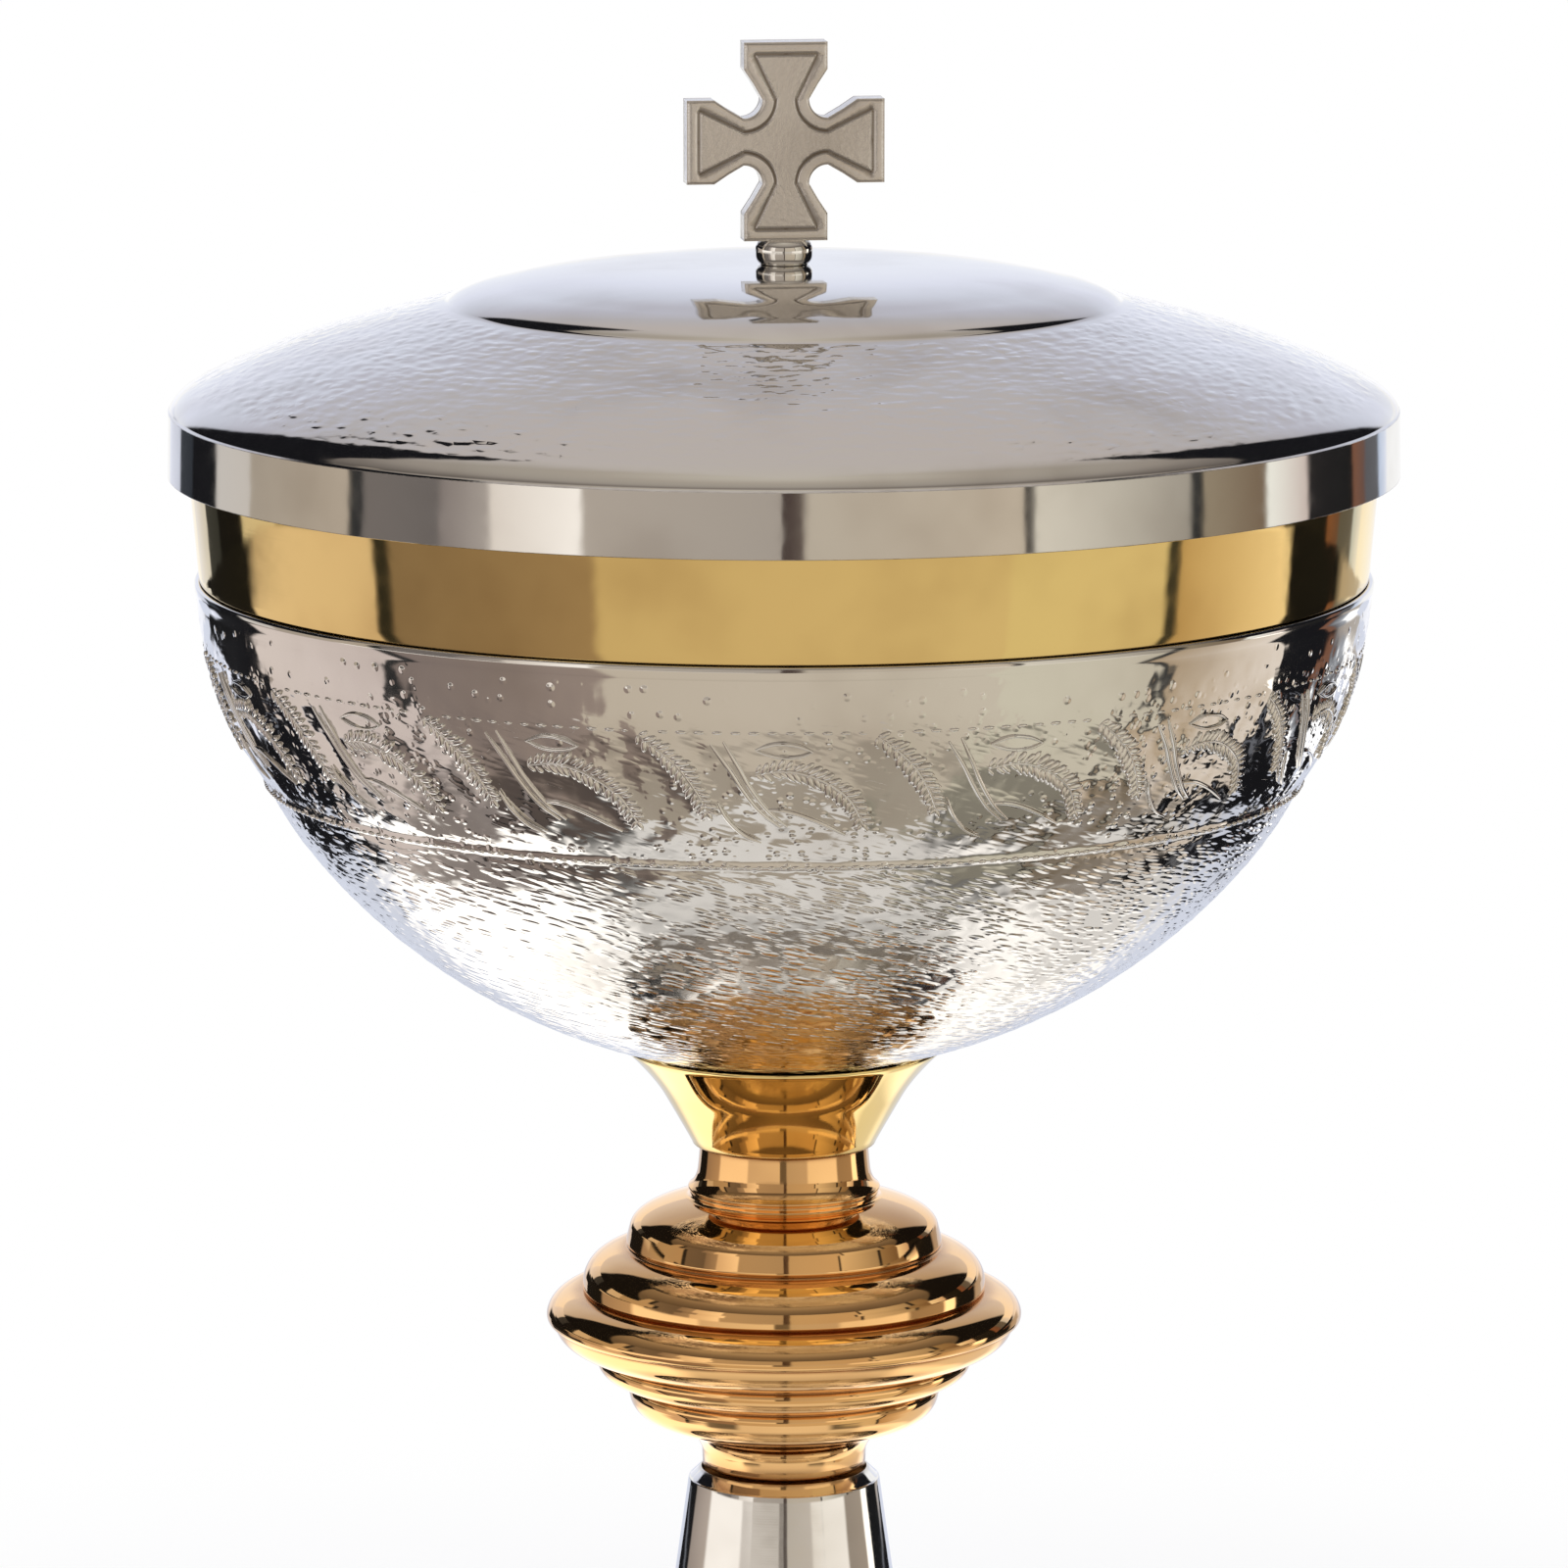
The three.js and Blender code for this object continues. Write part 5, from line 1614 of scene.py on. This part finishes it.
def studio(settings, finishes):
    """The world, the floor, the near wall that only the metal sees, the softbox and the camera."""
    studio_world(settings)
    sides, floor_radius = 96, 0.9
    wall_radius, wall_foot, wall_top = 0.3, 0.12, 0.18
    floor = circle_points(floor_radius, 0, sides)
    stage_piece("floor", floor, [list(range(sides))], floor_finish(settings, finishes.floor))
    rows = circle_points(wall_radius, wall_foot, sides) + circle_points(wall_radius, wall_top, sides)
    corners = [(k, (k + 1) % sides) for k in range(sides)]
    facing_in = [(b, a, a + sides, b + sides) for a, b in corners]
    wall = stage_piece("near_wall", rows, facing_in, wall_finish(settings))
    wall.visible_camera = wall.visible_diffuse = wall.visible_transmission = wall.visible_shadow = False
    lamp = bpy.data.lights.new("overhead_softbox", "AREA")
    lamp.shape = "DISK"
    lamp.size = 0.9
    lamp.energy = settings.key
    softbox = placed("overhead_softbox", lamp)
    softbox.location = (-0.5, -0.35, 1.4)
    aim = Vector((0.5, 0.35, -1.35))
    softbox.rotation_euler = aim.to_track_quat("-Z", "Y").to_euler()
    softbox.visible_glossy = False
    lens = bpy.data.cameras.new("camera")
    lens.sensor_width = 36
    lens.lens = settings.lens
    lens.clip_start, lens.clip_end = 0.05, 20
    camera = placed("camera", lens)
    angle, distance = settings.azimuth, settings.distance
    camera.location = (distance * math.sin(angle), -distance * math.cos(angle), settings.height)
    camera.rotation_euler = (math.pi / 2 - settings.pitch, 0, angle)
    bpy.context.scene.camera = camera
    bpy.context.scene.view_settings.view_transform = "Standard"


# Operators


class CIBORIUM_OT_studio(bpy.types.Operator):
    """Adds the pale floor, the soft light and the camera"""

    bl_idname = "ciborium.studio"
    bl_label = "Studio"

    def execute(self, context):
        settings = context.scene.ciborium
        studio(settings.studio, settings.finish)
        return {"FINISHED"}


class CIBORIUM_OT_lid(bpy.types.Operator):
    """Builds the hammered lid and the ring that seats it"""

    bl_idname = "ciborium.lid"
    bl_label = "Lid"

    def execute(self, context):
        sizes = context.scene.ciborium.lid
        stands_for(lid_shell(sizes), "lid", "lid_silver", "lid_shell")
        stands_for(locating_ring(), "lid", "polished_silver", "lid_locating_ring")
        return {"FINISHED"}


class CIBORIUM_OT_cross(bpy.types.Operator):
    """Builds the cast cross and the bead under it"""

    bl_idname = "ciborium.cross"
    bl_label = "Cross"

    def execute(self, context):
        stands_for(cross_solid(context.scene.ciborium.cross), "lid", "cast_silver", "cross")
        stands_for(cross_bead(), "lid", "polished_silver", "cross_bead")
        return {"FINISHED"}


class CIBORIUM_OT_bowl(bpy.types.Operator):
    """Builds the gold-lined cup and its hammered sheath"""

    bl_idname = "ciborium.bowl"
    bl_label = "Bowl"

    def execute(self, context):
        settings = context.scene.ciborium
        sheath = cup_sheath(settings.bowl, settings.wheat, settings.studio)
        stands_for(sheath, "vessel", "hammered_silver", "cup_sheath")
        stands_for(gold_cup(settings.bowl), "vessel", "gold_lining", "cup")
        return {"FINISHED"}


class CIBORIUM_OT_frieze(bpy.types.Operator):
    """Chases the wheat and its two lines on the sheath"""

    bl_idname = "ciborium.frieze"
    bl_label = "Wheat frieze"

    def execute(self, context):
        settings = context.scene.ciborium
        for piece in frieze(settings.bowl, settings.wheat, settings.studio):
            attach(piece, "vessel")
        return {"FINISHED"}


class CIBORIUM_OT_stem(bpy.types.Operator):
    """Turns the collar and the two halves of the knop"""

    bl_idname = "ciborium.stem"
    bl_label = "Collar and knop"

    def execute(self, context):
        sizes = context.scene.ciborium.stem
        upper, lower = knop_shells(sizes)
        stands_for(collar_piece(sizes), "vessel", "yellow_gold", "collar")
        stands_for(upper, "vessel", "red_gold", "knop_upper_shell")
        stands_for(lower, "vessel", "red_gold", "knop_lower_shell")
        return {"FINISHED"}


class CIBORIUM_OT_foot(bpy.types.Operator):
    """Spins the trumpet foot and its base ring"""

    bl_idname = "ciborium.foot"
    bl_label = "Foot"

    def execute(self, context):
        sizes = context.scene.ciborium.stem
        stands_for(foot_shell(sizes), "vessel", "foot_silver", "foot_shell")
        stands_for(base_ring(), "vessel", "plain_brass", "foot_base_ring")
        return {"FINISHED"}


class CIBORIUM_OT_fasteners(bpy.types.Operator):
    """Gives the rod, nuts, washers and tubes inside the stem and the lid their metals"""

    bl_idname = "ciborium.fasteners"
    bl_label = "Fasteners"

    def execute(self, context):
        brass = ("cup_boss", "knop_top_washer", "knop_core_tube", "knop_bottom_washer", "foot_top_disc")
        for name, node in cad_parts.items():
            if not node.hide_render:
                node.data.materials.clear()
                node.data.materials.append(finish("brass_turned" if name in brass else "steel_turned"))
        return {"FINISHED"}


STEPS = (
    CIBORIUM_OT_studio,
    CIBORIUM_OT_lid,
    CIBORIUM_OT_cross,
    CIBORIUM_OT_bowl,
    CIBORIUM_OT_frieze,
    CIBORIUM_OT_stem,
    CIBORIUM_OT_foot,
    CIBORIUM_OT_fasteners,
)


class CIBORIUM_PT_panel(bpy.types.Panel):
    """Lists the steps that build the ciborium, and its sizes"""

    bl_label = "Ciborium"
    bl_idname = "CIBORIUM_PT_panel"
    bl_space_type = "VIEW_3D"
    bl_region_type = "UI"
    bl_category = "Ciborium"

    def draw(self, context):
        settings = context.scene.ciborium
        for step in STEPS:
            self.layout.operator(step.bl_idname)
        for name, group in GROUPS.items():
            box = self.layout.box()
            box.label(text=group.__doc__)
            for key in group.__annotations__:
                box.prop(getattr(settings, name), key)


CLASSES = (*GROUPS.values(), CiboriumSettings, *STEPS, CIBORIUM_PT_panel)


def register():
    for item in CLASSES:
        bpy.utils.register_class(item)
    bpy.types.Scene.ciborium = PointerProperty(type=CiboriumSettings)


def unregister():
    del bpy.types.Scene.ciborium
    for item in reversed(CLASSES):
        bpy.utils.unregister_class(item)


def main():
    register()
    for step in STEPS:
        group, name = step.bl_idname.split(".")
        getattr(getattr(bpy.ops, group), name)()


if __name__ == "__main__":
    main()
